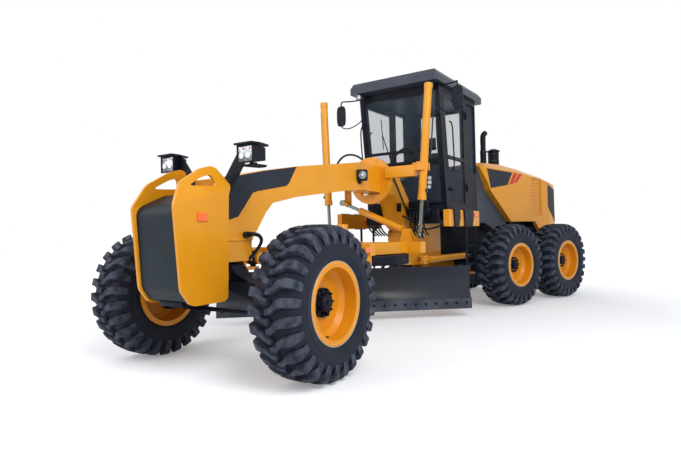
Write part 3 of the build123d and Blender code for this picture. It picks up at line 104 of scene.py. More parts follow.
def noise(tree, scale, detail=4, coordinate="Object"):
    place = tree.nodes.new("ShaderNodeTexCoord")
    tex = tree.nodes.new("ShaderNodeTexNoise")
    tex.inputs["Scale"].default_value = scale
    tex.inputs["Detail"].default_value = detail
    tree.links.new(place.outputs[coordinate], tex.inputs["Vector"])
    return tex.outputs["Fac"]


def ramp(tree, source, low, high, at=(0.35, 0.65)):
    node = tree.nodes.new("ShaderNodeValToRGB")
    node.color_ramp.elements[0].position = at[0]
    node.color_ramp.elements[1].position = at[1]
    node.color_ramp.elements[0].color = (*low, 1)
    node.color_ramp.elements[1].color = (*high, 1)
    tree.links.new(source, node.inputs["Fac"])
    return node.outputs["Color"]


def bump(tree, source, strength, distance, shader):
    node = tree.nodes.new("ShaderNodeBump")
    node.inputs["Strength"].default_value = strength
    node.inputs["Distance"].default_value = distance
    tree.links.new(source, node.inputs["Height"])
    tree.links.new(node.outputs["Normal"], shader.inputs["Normal"])


def scalar(tree, source, low, high, socket):
    node = tree.nodes.new("ShaderNodeMapRange")
    node.inputs["To Min"].default_value = low
    node.inputs["To Max"].default_value = high
    tree.links.new(source, node.inputs["Value"])
    tree.links.new(node.outputs["Result"], socket)


def finish(name, low, high, rough, metallic=0.0, coat=0.0, scale=3.0, grain=220.0, relief=0.05, mirror=0.5):
    """Surface whose colour drifts between two near tones, with uneven gloss and a fine grain."""
    material, tree, shader = new_material(name)
    tree.links.new(ramp(tree, noise(tree, scale, 6), low, high), shader.inputs["Base Color"])
    scalar(tree, noise(tree, scale * 4, 5), rough[0], rough[1], shader.inputs["Roughness"])
    bump(tree, noise(tree, grain, 3), relief, GRAIN_DEPTH, shader)
    shader.inputs["Metallic"].default_value = metallic
    shader.inputs["Coat Weight"].default_value = coat
    shader.inputs["Coat Roughness"].default_value = COAT_ROUGH
    shader.inputs["Specular IOR Level"].default_value = mirror
    return material


YELLOW = finish("yellow_paint", (0.73, 0.295, 0.007), (0.77, 0.320, 0.010), (0.32, 0.44), coat=0.22,
                mirror=0.30)
BLACK = finish("black_paint", (0.003, 0.005, 0.011), (0.005, 0.008, 0.016), (0.40, 0.54), mirror=0.14)
CHARCOAL = finish("charcoal_panel", (0.012, 0.018, 0.029), (0.018, 0.025, 0.039), (0.40, 0.52), mirror=0.18)
ROOF_GREY = finish("roof_grey", (0.044, 0.051, 0.074), (0.056, 0.065, 0.090), (0.40, 0.52), mirror=0.25)
NOSE_PAINT = finish("nose_paint", (0.006, 0.014, 0.020), (0.009, 0.018, 0.026), (0.36, 0.48), mirror=0.16)
DARK_STEEL = finish("dark_steel", (0.016, 0.018, 0.026), (0.034, 0.038, 0.048), (0.34, 0.55), metallic=0.4,
                    scale=5, relief=0.12, mirror=0.25)
BLADE_PAINT = finish("blade_paint", (0.005, 0.007, 0.016), (0.009, 0.012, 0.024), (0.26, 0.36), scale=2,
                     mirror=0.40)
BLADE_EDGE = finish("blade_edge", (0.034, 0.040, 0.060), (0.075, 0.084, 0.110), (0.36, 0.50), metallic=0.2,
                    scale=4, mirror=0.25)
CHROME = finish("rod_chrome", (0.13, 0.155, 0.135), (0.17, 0.20, 0.175), (0.20, 0.28), metallic=0.9,
                scale=3, relief=0.0)
SILVER = finish("bright_steel", (0.34, 0.36, 0.38), (0.46, 0.48, 0.50), (0.22, 0.34), metallic=1.0, scale=9)
# Tyre rubber in two tones: the lighter one on the lugs is a painted highlight for light on the lug tops, the
# darker one on the carcass and sidewall rings is painted shade between and under the lugs
RUBBER = finish("tyre_rubber", (0.018, 0.022, 0.038), (0.068, 0.077, 0.106), (0.55, 0.80), scale=14,
                grain=60, relief=0.65, mirror=0.16)
SHADED_RUBBER = finish("tyre_rubber_shaded", (0.009, 0.012, 0.022), (0.014, 0.018, 0.031), (0.45, 0.62), scale=6,
                  grain=70, relief=0.15, mirror=0.14)
HOSE = finish("hose_rubber", (0.005, 0.006, 0.010), (0.010, 0.011, 0.017), (0.40, 0.55), scale=20,
              mirror=0.20)
PLASTIC = finish("trim_plastic", (0.008, 0.010, 0.017), (0.014, 0.017, 0.026), (0.5, 0.65), scale=12,
                 grain=500, relief=0.3, mirror=0.16)
FABRIC = finish("seat_fabric", (0.012, 0.013, 0.018), (0.028, 0.030, 0.038), (0.8, 0.95), scale=40,
                grain=900, relief=0.6, mirror=0.12)
GREY = finish("grey_paint", (0.33, 0.34, 0.35), (0.42, 0.43, 0.44), (0.4, 0.55))
RED = finish("red_film", (0.58, 0.030, 0.022), (0.63, 0.038, 0.028), (0.35, 0.45), mirror=0.25)
ORANGE = finish("orange_reflector", (0.90, 0.13, 0.010), (0.98, 0.18, 0.015), (0.15, 0.25), coat=0.4)
LENS = finish("lamp_lens", (0.06, 0.075, 0.075), (0.50, 0.53, 0.56), (0.08, 0.18), metallic=0.7, scale=14)
# Rims in a darker copy of the yellow paint: painted shade for the shade inside the wheels
RIM_SHADED_YELLOW = finish("rim_paint_shaded", (0.66, 0.245, 0.006), (0.70, 0.265, 0.008), (0.34, 0.46), coat=0.15,
                    mirror=0.25)
MIRROR = finish("mirror_glass", (0.75, 0.77, 0.80), (0.82, 0.84, 0.86), (0.02, 0.05), metallic=1.0)


def glass(name, tint, alpha):
    material, tree, shader = new_material(name)
    shader.inputs["Base Color"].default_value = (*tint, 1)
    shader.inputs["Metallic"].default_value = 0.0
    shader.inputs["IOR"].default_value = 1.5
    shader.inputs["Specular IOR Level"].default_value = 0.14
    shader.inputs["Alpha"].default_value = alpha
    scalar(tree, noise(tree, 2.5, 3), 0.02, 0.07, shader.inputs["Roughness"])
    return material


GLASS = glass("cab_glass", (0.08, 0.12, 0.17), 0.15)

NODE_FINISH = {
    "yellow_paint": YELLOW, "black_paint": BLACK, "grey_paint": GREY, "edge_steel": BLADE_EDGE,
    "rod_chrome": CHROME, "tyre_rubber": RUBBER, "tinted_glass": GLASS, "seat_fabric": FABRIC,
    "trim_plastic": PLASTIC,
}
slots = {part["node"]: part["material_slot"] for part in frame["record"]["subparts"]}
SPECIAL = {
    "fairing": ROOF_GREY, "moldboard": BLADE_PAINT, "cutting_edge": BLADE_EDGE,
    "circle": BLACK, "side_boxes": YELLOW, "cab_roof": ROOF_GREY, "drawbar_ball": DARK_STEEL,
    "tie_ball": DARK_STEEL, "blade_carrier": BLACK,
}
# The rims take the darker yellow, painted shade
SPECIAL.update({name: RIM_SHADED_YELLOW for name in nodes if name.startswith("rim_")})
for name, node in nodes.items():
    chosen = SPECIAL.get(name, NODE_FINISH[slots[name]])
    node.data.materials.clear()
    node.data.materials.append(chosen)

# Softened edges on plate and sheet pieces: node, width in metres
SOFT = {
    "front_frame": 0.005, "saddle": 0.004, "drawbar": 0.005, "circle": 0.003, "moldboard": 0.003,
    "front_axle": 0.006, "cab_body": 0.006, "cab_roof": 0.010, "side_boxes": 0.008, "steps": 0.003,
    "rear_frame": 0.006, "hood": 0.010, "fairing": 0.008, "rear_grille": 0.002, "door_left": 0.004,
    "door_right": 0.004, "tandem_cases": 0.006, "seat": 0.020, "console": 0.006, "blade_carrier": 0.003,
}
WELD_REACH, SHARPEST = 0.00002, 35


def soften(obj, width, sharpest, segments=2):
    """Round the edges whose faces meet at more than an angle in degrees."""
    soft = obj.modifiers.new("soft", "BEVEL")
    soft.width = width
    soft.segments = segments
    soft.limit_method = "ANGLE"
    soft.angle_limit = math.radians(sharpest)


for name, width in SOFT.items():
    weld = nodes[name].modifiers.new("weld", "WELD")
    weld.merge_threshold = WELD_REACH
    soften(nodes[name], width, SHARPEST)


# Geometry helpers, in metres; a mesh is in line with the front frame unless its piece has a place
MERGE = 1e-6


def piece(name, body, mesh, material, place=None, smooth=40):
    """Named piece that rides on a body, shaded smooth below an angle in degrees."""
    obj = bpy.data.objects.new(name, mesh)
    scene.collection.objects.link(obj)
    mesh.materials.append(material)
    mesh.transform(STAND @ (place or STRAIGHT))
    for polygon in mesh.polygons:
        polygon.use_smooth = True
    mesh.set_sharp_from_angle(angle=math.radians(smooth))
    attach(obj, body)
    return obj


def mesh_of(bm, name="mesh"):
    bmesh.ops.remove_doubles(bm, verts=bm.verts, dist=MERGE)
    bmesh.ops.recalc_face_normals(bm, faces=bm.faces)
    mesh = bpy.data.meshes.new(name)
    bm.to_mesh(mesh)
    bm.free()
    return mesh


def add_box(bm, centre, size, turn=None, bevel=0.0):
    place = Matrix.Translation(centre) @ (turn or Matrix.Identity(4)) @ Matrix.Diagonal((*size, 1))
    made = bmesh.ops.create_cube(bm, size=1, matrix=place)
    if bevel:
        edges = list({edge for vert in made["verts"] for edge in vert.link_edges})
        bmesh.ops.bevel(bm, geom=edges, offset=bevel, segments=2, affect="EDGES", profile=0.5)


def add_rod(bm, start, end, radius, sides=16, radius_end=None):
    start, end = Vector(start), Vector(end)
    line = end - start
    place = Matrix.Translation((start + end) / 2) @ line.to_track_quat("Z", "Y").to_matrix().to_4x4()
    bmesh.ops.create_cone(bm, cap_ends=True, segments=sides, radius1=radius,
                          radius2=radius if radius_end is None else radius_end, depth=line.length,
                          matrix=place)


def add_plate(bm, outline, normal_axis, low, high):
    """Prism over a closed outline of (a, b) pairs, between low and high along one axis."""
    def point(a, b, c):
        if normal_axis == "X":
            return (c, a, b)
        if normal_axis == "Y":
            return (a, c, b)
        return (a, b, c)

    near = [bm.verts.new(point(a, b, low)) for a, b in outline]
    far = [bm.verts.new(point(a, b, high)) for a, b in outline]
    bm.faces.new(near)
    bm.faces.new(far)
    for index in range(len(outline)):
        after = (index + 1) % len(outline)
        bm.faces.new((near[index], near[after], far[after], far[index]))


def tube(name, body, points, radius, material, place=None, sides=6):
    """Smooth hose or bent bar through a few points."""
    curve = bpy.data.curves.new(name, "CURVE")
    curve.dimensions = "3D"
    curve.bevel_depth = radius
    curve.bevel_resolution = sides // 2
    curve.use_fill_caps = True
    spline = curve.splines.new("NURBS")
    spline.points.add(len(points) - 1)
    for target, source in zip(spline.points, points):
        spot = STAND @ (place or STRAIGHT) @ Vector(source)
        target.co = (*spot, 1)
    spline.order_u = 3
    spline.use_endpoint_u = True
    curve.materials.append(material)
    obj = bpy.data.objects.new(name, curve)
    scene.collection.objects.link(obj)
    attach(obj, body)
    return obj


# Tyres: carcass with chunky shoulder lugs, one mesh for each of six places
TYRE_R, TURNS = 0.670, 72
# Half of the carcass from the bead to the tread's middle: axial, radius
CARCASS_SIDE = [(0.1897, 0.319), (0.1897, 0.352), (0.205, 0.366), (0.2175, 0.415), (0.2200, 0.47),
                (0.2190, 0.515), (0.2030, 0.560), (0.188, 0.598), (0.120, 0.622)]
CARCASS = [(-axial, radius) for axial, radius in CARCASS_SIDE] + [(0.0, 0.628)] + CARCASS_SIDE[::-1]
LUG_COUNT = 27
# Stations of a lug from the tread's middle to down the shoulder: axial, top radius, root radius,
# lead angle in lug pitches, half width in metres
LUG = [(-0.012, 0.6695, 0.612, 0.02, 0.022), (0.040, 0.6695, 0.612, 0.08, 0.026),
       (0.075, 0.6692, 0.610, 0.34, 0.031), (0.120, 0.6675, 0.606, 0.50, 0.036),
       (0.170, 0.6590, 0.594, 0.54, 0.039), (0.205, 0.6400, 0.582, 0.54, 0.040),
       (0.2200, 0.6080, 0.560, 0.54, 0.038), (0.2225, 0.5650, 0.530, 0.54, 0.034),
       (0.2210, 0.5250, 0.505, 0.54, 0.029)]
ROOT_SPREAD, TOP_SPREAD = 1.15, 0.95
# Raised rings on a sidewall: radius, half width; then how far out their feet and crest lie
WALL_RINGS = ((0.505, 0.007), (0.43, 0.008))
RING_FOOT, RING_CREST = 0.2175, 0.2222


def revolve(bm, profile, slot=0):
    """Closed ring about the Y axis from a closed outline of (axial, radius) pairs."""
    rings = []
    for step in range(TURNS):
        angle = 2 * math.pi * step / TURNS
        rings.append([bm.verts.new((radius * math.cos(angle), axial, radius * math.sin(angle)))
                      for axial, radius in profile])
    for step in range(TURNS):
        ring, after = rings[step], rings[(step + 1) % TURNS]
        for index in range(len(profile)):
            nxt = (index + 1) % len(profile)
            face = bm.faces.new((ring[index], ring[nxt], after[nxt], after[index]))
            face.material_index = slot


def tyre_mesh():
    """Carcass and sidewall rings in the second material slot, the darker rubber as painted shade; lugs in the
    first, the lighter rubber as painted highlight.
    """
    bm = bmesh.new()
    revolve(bm, CARCASS, slot=1)
    pitch = 2 * math.pi / LUG_COUNT
    for side in (1, -1):
        for count in range(LUG_COUNT):
            base = (count + (0.5 if side < 0 else 0)) * pitch
            sections = []
            for axial, top, root, lead, half in LUG:
                centre = base + lead * pitch
                corners = []
                for radius, spread in ((root, ROOT_SPREAD), (top, TOP_SPREAD)):
                    for edge in (-1, 1):
                        angle = centre + edge * half * spread / TYRE_R
                        corners.append(bm.verts.new((radius * math.cos(angle), side * axial,
                                                     radius * math.sin(angle))))
                sections.append(corners)
            for near, far in zip(sections[:-1], sections[1:]):
                for a, b in ((0, 2), (2, 3), (3, 1), (1, 0)):
                    bm.faces.new((near[a], near[b], far[b], far[a]))
            bm.faces.new([sections[0][i] for i in (0, 1, 3, 2)])
            bm.faces.new([sections[-1][i] for i in (0, 1, 3, 2)])
    for side in (1, -1):
        for radius, width in WALL_RINGS:
            for step in range(TURNS):
                a0 = 2 * math.pi * step / TURNS
                a1 = 2 * math.pi * (step + 1) / TURNS
                quads = []
                for angle in (a0, a1):
                    quads.append([bm.verts.new((r * math.cos(angle), side * y, r * math.sin(angle)))
                                  for r, y in ((radius - width, RING_FOOT), (radius, RING_CREST),
                                               (radius + width, RING_FOOT))])
                for i in (0, 1):
                    wall = bm.faces.new((quads[0][i], quads[0][i + 1], quads[1][i + 1], quads[1][i]))
                    wall.material_index = 1
    return mesh_of(bm, "tyre")


FRONT_WHEEL, REAR_WHEEL_Y, TANDEM_X, TANDEM_STEP = (3.65, 1.08), 1.06, -1.5, 0.76
WHEELS = {}
for side, sign in SIDES:
    front_place = Matrix.Translation((FRONT_WHEEL[0], sign * FRONT_WHEEL[1], TYRE_R))
    WHEELS[f"front_{side}"] = (front_place, sign)
    for row, step in (("middle", 1), ("rear", -1)):
        rear_place = Matrix.Translation((TANDEM_X + step * TANDEM_STEP, sign * REAR_WHEEL_Y, TYRE_R))
        WHEELS[f"{row}_{side}"] = (REAR @ rear_place, sign)
RIM_EDGE = ((0.2045, 0.3545), (0.2075, 0.3545), (0.2075, 0.3600), (0.2030, 0.3600))
LIP_R, LIP_WIRE, LIP_Y = 0.340, 0.011, 0.199
# Hub in steps outwards: start, end, radius, end radius, sides
HUB_STEPS = ((0.040, 0.070, 0.126, 0.126, 36), (0.070, 0.108, 0.084, 0.074, 32),
             (0.108, 0.120, 0.066, 0.052, 28), (0.120, 0.128, 0.026, 0.026, 6))
NUTS, NUT_CIRCLE, NUT_FOOT, NUT_TOP, STUD_TOP = 10, 0.112, 0.068, 0.084, 0.096

for place_name, (place, sign) in WHEELS.items():
    body = f"wheel_{place_name}"
    tread = piece(f"tread_{place_name}", body, tyre_mesh(), RUBBER, place, smooth=35)
    # The carcass takes the darker rubber, painted shade
    tread.data.materials.append(SHADED_RUBBER)
    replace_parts(tread, f"tyre_{place_name}")
    # Bright edge of the rim's flange
    bm = bmesh.new()
    revolve(bm, [(sign * axial, radius) for axial, radius in RIM_EDGE])
    piece(f"rim_edge_{place_name}", body, mesh_of(bm), GREY, place)
    bpy.ops.mesh.primitive_torus_add(major_radius=LIP_R, minor_radius=LIP_WIRE, major_segments=TURNS,
                                     minor_segments=10, rotation=(math.pi / 2, 0, 0),
                                     location=(0, sign * LIP_Y, 0))
    lip = bpy.context.object
    lip_mesh = lip.data
    lip_mesh.transform(lip.matrix_world)
    bpy.data.objects.remove(lip)
    piece(f"rim_lip_{place_name}", body, lip_mesh, YELLOW, place)
    # Hub cap on its dark flange, nuts, valve stem with its cap by the rim's barrel
    bm = bmesh.new()
    for start, end, radius, radius_end, sides in HUB_STEPS:
        add_rod(bm, (0, sign * start, 0), (0, sign * end, 0), radius, sides, radius_end)
    for nut in range(NUTS):
        angle = 2 * math.pi * nut / NUTS
        x, z = NUT_CIRCLE * math.cos(angle), NUT_CIRCLE * math.sin(angle)
        add_rod(bm, (x, sign * NUT_FOOT, z), (x, sign * NUT_TOP, z), 0.013, 6)
        add_rod(bm, (x, sign * NUT_TOP, z), (x, sign * STUD_TOP, z), 0.007, 8)
    piece(f"hub_{place_name}", body, mesh_of(bm), BLACK, place)
    bm = bmesh.new()
    add_rod(bm, (-0.03, sign * 0.085, -0.292), (0.06, sign * 0.105, -0.288), 0.007, 8)
    add_rod(bm, (0.06, sign * 0.105, -0.288), (0.075, sign * 0.108, -0.287), 0.010, 8)
    piece(f"valve_{place_name}", body, mesh_of(bm), BLACK, place)


def plates(name, body, shape, reach, thick, material, place=None):
    """The same flat shape, given as (x, z) pairs, on both sides at y = reach."""
    bm = bmesh.new()
    for sign in (1, -1):
        add_plate(bm, shape, "Y", sign * reach, sign * (reach + thick))
    return piece(name, body, mesh_of(bm), material, place, smooth=20)


def boxes(name, body, table, material, place=None, bevel=0.004):
    """Bevelled boxes from rows of (centre, size)."""
    bm = bmesh.new()
    for centre, size in table:
        add_box(bm, centre, size, None, bevel)
    return piece(name, body, mesh_of(bm), material, place)


def pair(centre, size):
    """A box's row and its mirror image across the middle."""
    x, y, z = centre
    return [((x, sign * y, z), size) for sign in (1, -1)]


# A bolt's washer: share of the bolt's height, share of its radius, depth sunk into the face below
WASHER_HIGH, WASHER_WIDE, WASHER_SUNK = 0.35, 1.35, 0.002


def bolts(name, body, spots, way, radius, height, material=DARK_STEEL, place=None):
    """Hexagon heads on washers, each from its spot outwards along the unit vector way."""
    way = Vector(way)
    bm = bmesh.new()
    for spot in spots:
        start = Vector(spot)
        seat = start + way * height * WASHER_HIGH
        add_rod(bm, start - way * WASHER_SUNK, seat, radius * WASHER_WIDE, 14)
        add_rod(bm, seat, start + way * height, radius, 6)
    return piece(name, body, mesh_of(bm), material, place)


# Nose: bare dark panel on the beam, guard plates, cover, orange markers, headlamps
BEAM_PANEL = [(3.895, 1.375), (3.775, 1.405), (3.64, 1.44), (3.43, 1.68), (3.36, 1.70), (2.91, 1.78),
              (2.86, 1.815), (2.725, 2.005), (3.25, 1.916), (3.63, 1.836), (3.895, 1.787)]
BEAM_HALF, FILM_T = 0.150, 0.0015
plates("beam_panel", "front", BEAM_PANEL, BEAM_HALF, FILM_T, CHARCOAL)
# Guard plates with rounded corners, whose tops lean in over the cover
BOLSTER_FRONT, PLATE_OUT, PLATE_T = 3.895, 0.290, 0.030
# Corners in millimetres ahead of the bolster, and height, each with the reach of its rounding
GUARD = [((30, 700), 20), ((75, 672), 20), ((410, 672), 40), ((465, 695), 30), ((552, 810), 90),
         ((612, 1520), 90), ((500, 1720), 160), ((270, 1850), 160), ((145, 1885), 60), ((85, 1870), 40),
         ((-30, 1720), 30), ((0, 1620), 30)]
GUARD_SLOT = [((430, 1690), 14), ((270, 1775), 110), ((165, 1805), 34), ((120, 1705), 30)]
FOLD_FROM, FOLD_TO, FOLD_LEAN = (4.508, 1.518), (3.865, 1.690), 0.32
FOLD_BEND = 0.008


def rounded(corners, turns=6):
    """Outline in metres from corners ((x, z), reach) in millimetres, each cut back to an arc."""
    made = []
    for index, (corner, radius) in enumerate(corners):
        here = Vector(corner)
        before = (Vector(corners[index - 1][0]) - here).normalized()
        after = (Vector(corners[(index + 1) % len(corners)][0]) - here).normalized()
        half = before.angle(after) / 2
        reach = radius / math.tan(half)
        start, end = here + before * reach, here + after * reach
        for turn_no in range(turns + 1):
            t = turn_no / turns
            made.append((1 - t) ** 2 * start + 2 * t * (1 - t) * here + t ** 2 * end)
    return [(point.x / 1000 + BOLSTER_FRONT, point.y / 1000) for point in made]


def guard_plate(sign):
    """Plate with its slot, bent along the fold so that its top leans inwards."""
    curve = bpy.data.curves.new("guard", "CURVE")
    curve.dimensions = "2D"
    curve.fill_mode = "BOTH"
    curve.extrude = PLATE_T / 2
    for loop in (rounded(GUARD), rounded(GUARD_SLOT)):
        spline = curve.splines.new("POLY")
        spline.points.add(len(loop) - 1)
        for target, (x, z) in zip(spline.points, loop):
            target.co = (x, z, 0, 1)
        spline.use_cyclic_u = True
    flat = bpy.data.objects.new("guard", curve)
    scene.collection.objects.link(flat)
    bm = bmesh.new()
    bm.from_mesh(bpy.data.meshes.new_from_object(flat))
    bpy.data.objects.remove(flat)
    bmesh.ops.remove_doubles(bm, verts=bm.verts, dist=1e-5)
    along = (Vector(FOLD_TO) - Vector(FOLD_FROM)).normalized()
    over = Vector((along.y, -along.x))
    if over.y < 0:
        over = -over
    for lift in (-FOLD_BEND, 0.0, FOLD_BEND):
        cut = Vector(FOLD_FROM) + over * lift
        bmesh.ops.bisect_plane(bm, geom=bm.verts[:] + bm.edges[:] + bm.faces[:], dist=MERGE,
                               plane_co=(cut.x, cut.y, 0), plane_no=(over.x, over.y, 0))
    for vert in bm.verts:
        above = max(0.0, (Vector((vert.co.x, vert.co.y)) - Vector(FOLD_FROM)).dot(over) + FOLD_BEND)
        lean = FOLD_LEAN * (above - FOLD_BEND if above > 2 * FOLD_BEND else above * above / (4 * FOLD_BEND))
        vert.co = (vert.co.x, sign * (PLATE_OUT - PLATE_T / 2 - lean) + vert.co.z, vert.co.y)
    return bm


guard_both = bmesh.new()
for sign in (1, -1):
    guard_both.from_mesh(mesh_of(guard_plate(sign)))
guard = piece("nose_guard", "front", mesh_of(guard_both), YELLOW, smooth=30)
soften(guard, 0.005, 50)
boxes("nose_web", "front", [((BOLSTER_FRONT + 0.0305, 0, 1.35), (0.060, 0.519, 0.56))], YELLOW)
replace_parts(guard, "nose_plates")
COVER = [((120, 690), 8), ((410, 690), 50), ((452, 712), 50), ((532, 815), 130), ((580, 1510), 120),
         ((280, 1640), 90), ((120, 1640), 20)]
COVER_HALF = 0.258
bm = bmesh.new()
add_plate(bm, rounded(COVER), "Y", -COVER_HALF, COVER_HALF)
cover = piece("nose_skin", "front", mesh_of(bm), NOSE_PAINT, smooth=30)
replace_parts(cover, "nose_cover")
MARKER = [(4.157, 1.389), (4.269, 1.389), (4.269, 1.459), (4.157, 1.459)]
plates("nose_markers", "front", MARKER, PLATE_OUT, 0.012, ORANGE)
# Headlamps: tapered housings under a swept visor, each on a slanted arm from the beam's side
LAMP_ARM = [(0.151, 1.68), (0.151, 1.79), (0.200, 1.80), (0.405, 2.062), (0.455, 2.062), (0.455, 1.925),
            (0.345, 1.775), (0.262, 1.695), (0.220, 1.68)]
VISOR = [(3.958, 0.424), (3.958, 0.632), (3.860, 0.648), (3.700, 0.610), (3.700, 0.480), (3.860, 0.424)]
LAMP_FOOT = [(3.895, 0.450), (3.895, 0.600), (3.730, 0.610), (3.700, 0.560), (3.700, 0.490)]
# Front and back end of a housing: x, inner y, outer y, low z, high z
LAMP_BODY = ((3.915, 0.430, 0.622, 1.897, 2.056), (3.740, 0.462, 0.604, 1.925, 2.040))
LAMP_Y, LAMP_Z = 0.526, 1.976
bm = bmesh.new()
for sign in (1, -1):
    ends = []
    for x, inner, outer, low, high in LAMP_BODY:
        corners = ((inner, low), (outer, low), (outer, high), (inner, high))
        ends.append([bm.verts.new((x, sign * y, z)) for y, z in corners])
        bm.faces.new(ends[-1])
    for index in range(4):
        after = (index + 1) % 4
        bm.faces.new((ends[0][index], ends[0][after], ends[1][after], ends[1][index]))
    add_plate(bm, [(x, sign * y) for x, y in VISOR], "Z", 2.058, 2.074)
    add_plate(bm, [(x, sign * y) for x, y in LAMP_FOOT], "Z", 1.872, 1.888)
    add_rod(bm, (3.82, sign * 0.53, 1.886), (3.82, sign * 0.53, 1.905), 0.035, 20)
    add_plate(bm, [(sign * y, z) for y, z in LAMP_ARM], "X", 3.834, 3.850)
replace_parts(piece("lamp_housings", "front", mesh_of(bm), BLACK, smooth=20), "headlamps")
boxes("lamp_lenses", "front", pair((3.919, LAMP_Y, LAMP_Z), (0.010, 0.172, 0.138)), LENS, bevel=0.004)
# Sides of a lens frame from the lens's middle: y, z, width, height
LAMP_FRAME = ((0.090, 0, 0.012, 0.160), (-0.090, 0, 0.012, 0.160), (0, 0.073, 0.190, 0.014),
              (0, -0.073, 0.190, 0.014))
boxes("lamp_frames", "front", [((3.921, sign * (LAMP_Y + dy), LAMP_Z + dz), (0.018, w, h))
                               for sign in (1, -1) for dy, dz, w, h in LAMP_FRAME], PLASTIC)
bm = bmesh.new()
for sign in (1, -1):
    for dy in (0.040, -0.040):
        add_rod(bm, (3.923, sign * LAMP_Y + dy, 1.962), (3.928, sign * LAMP_Y + dy, 1.962), 0.027, 24)
piece("lamp_bowls", "front", mesh_of(bm), SILVER)
boxes("lamp_dots", "front", [((3.927, sign * LAMP_Y + dy, 2.020), (0.006, 0.018, 0.016))
                             for sign in (1, -1) for dy in (0.062, -0.020)], ORANGE, bevel=0.002)
boxes("nose_toe", "front", [((4.18, 0, 0.665), (0.16, 0.20, 0.05)), ((4.30, 0, 0.675), (0.05, 0.30, 0.04))],
      BLACK)

# Hoses from the beam to the axle: two on the left, one on the right
INNER_HOSE = [(3.52, 0.15, 1.265), (3.50, 0.22, 1.270), (3.44, 0.26, 1.24), (3.40, 0.22, 1.16),
              (3.46, 0.13, 1.04)]
OUTER_HOSE = [(3.56, 0.15, 1.265), (3.56, 0.22, 1.280), (3.48, 0.29, 1.26), (3.43, 0.26, 1.16),
              (3.50, 0.14, 1.02)]
tube("front_hose_a", "front", INNER_HOSE, 0.016, HOSE)
tube("front_hose_b", "front", OUTER_HOSE, 0.016, HOSE)
tube("front_hose_c", "front", [(x, -y, z) for x, y, z in INNER_HOSE], 0.016, HOSE)
bm = bmesh.new()
for sign in (1, -1):
    for x in (3.52, 3.56):
        add_rod(bm, (x, sign * 0.149, 1.265), (x, sign * 0.190, 1.268), 0.028, 18)
piece("hose_fittings", "front", mesh_of(bm), DARK_STEEL)
boxes("bolster_flange", "front", pair((3.68, 0.152, 1.215), (0.44, 0.012, 0.022)), YELLOW)

# Work lamps on the beam, at the saddle, turned outwards
WORK_TURN = math.radians(40)
for side, sign in SIDES:
    turned = Matrix.Translation((1.42, sign * 0.20, 2.01)) @ Matrix.Rotation(sign * WORK_TURN, 4, "Z")
    case = [((0, 0, 0), (0.075, 0.150, 0.150)), ((-0.05, 0, 0), (0.05, 0.08, 0.08))]
    boxes(f"work_lamp_{side}", "front", case, PLASTIC, turned, bevel=0.022)
    bm = bmesh.new()
    add_rod(bm, (0.030, 0, 0), (0.044, 0, 0), 0.056, 32, 0.050)
    piece(f"work_lens_{side}", "front", mesh_of(bm), LENS, turned)
    bm = bmesh.new()
    add_rod(bm, (0.040, 0, 0), (0.048, 0, 0), 0.024, 24, 0.018)
    piece(f"work_bulb_{side}", "front", mesh_of(bm), SILVER, turned)
    boxes(f"work_bracket_{side}", "front", [((1.42, sign * 0.165, 1.93), (0.05, 0.03, 0.06))], BLACK)

# Saddle: bolts round its ring, clear of the beam, and caps over the lift cylinders' pins
SADDLE_BOLTS, SADDLE_CIRCLE, SADDLE_FACE, SADDLE_Z = 8, 0.292, 0.870, 1.99
BEAM_CLEAR, BEAM_TOP = 0.17, 2.21
ring_spots = []
for count in range(SADDLE_BOLTS):
    angle = 2 * math.pi * (count + 0.5) / SADDLE_BOLTS
    y, z = SADDLE_CIRCLE * math.cos(angle), SADDLE_Z + SADDLE_CIRCLE * math.sin(angle)
    if abs(y) > BEAM_CLEAR or z > BEAM_TOP:
        ring_spots.append((SADDLE_FACE, y, z))
bolts("saddle_bolts", "front", ring_spots, (1, 0, 0), 0.012, 0.016, YELLOW)
boxes("saddle_caps", "front", pair((0.793, 0.775, 2.187), (0.17, 0.11, 0.014)), YELLOW)

# Blade: bolt row above the edge, end to end of the side-shifted blade
EDGE_BOLTS, ROW_LENGTH, BLADE_SHIFT = 24, 3.50, -0.147
row = [(-0.309, BLADE_SHIFT - ROW_LENGTH / 2 + ROW_LENGTH * count / (EDGE_BOLTS - 1), 0.205)
       for count in range(EDGE_BOLTS)]
bolts("edge_bolts", "blade", row, (1, 0, 0), 0.014, 0.012, BLACK, BLADE)

# Hood: bare dark panel and two plain red stripes on each side
HOOD_HALF, HOOD_TURN_X, HOOD_TAPER = 0.555, -2.9, 0.060 / 0.33
HOOD_PANEL = [(-0.862, 2.345), (-1.640, 2.309), (-1.475, 2.072), (-0.965, 1.998)]
HOOD_STRIPES = (("a", [(-1.691, 2.305), (-1.805, 2.300), (-1.649, 2.097), (-1.535, 2.082)]),
                ("b", [(-1.855, 2.298), (-1.960, 2.292), (-1.781, 2.131), (-1.682, 2.117)]))
plates("hood_panel", "rear", HOOD_PANEL, HOOD_HALF, FILM_T, CHARCOAL, REAR)
for letter, stripe in HOOD_STRIPES:
    plates(f"hood_stripe_{letter}", "rear", stripe, HOOD_HALF, FILM_T, RED, REAR)


def hood_y(x):
    """Half width of the hood's side at x, in the rear frame's own axes."""
    return HOOD_HALF - max(0.0, HOOD_TURN_X - x) * HOOD_TAPER


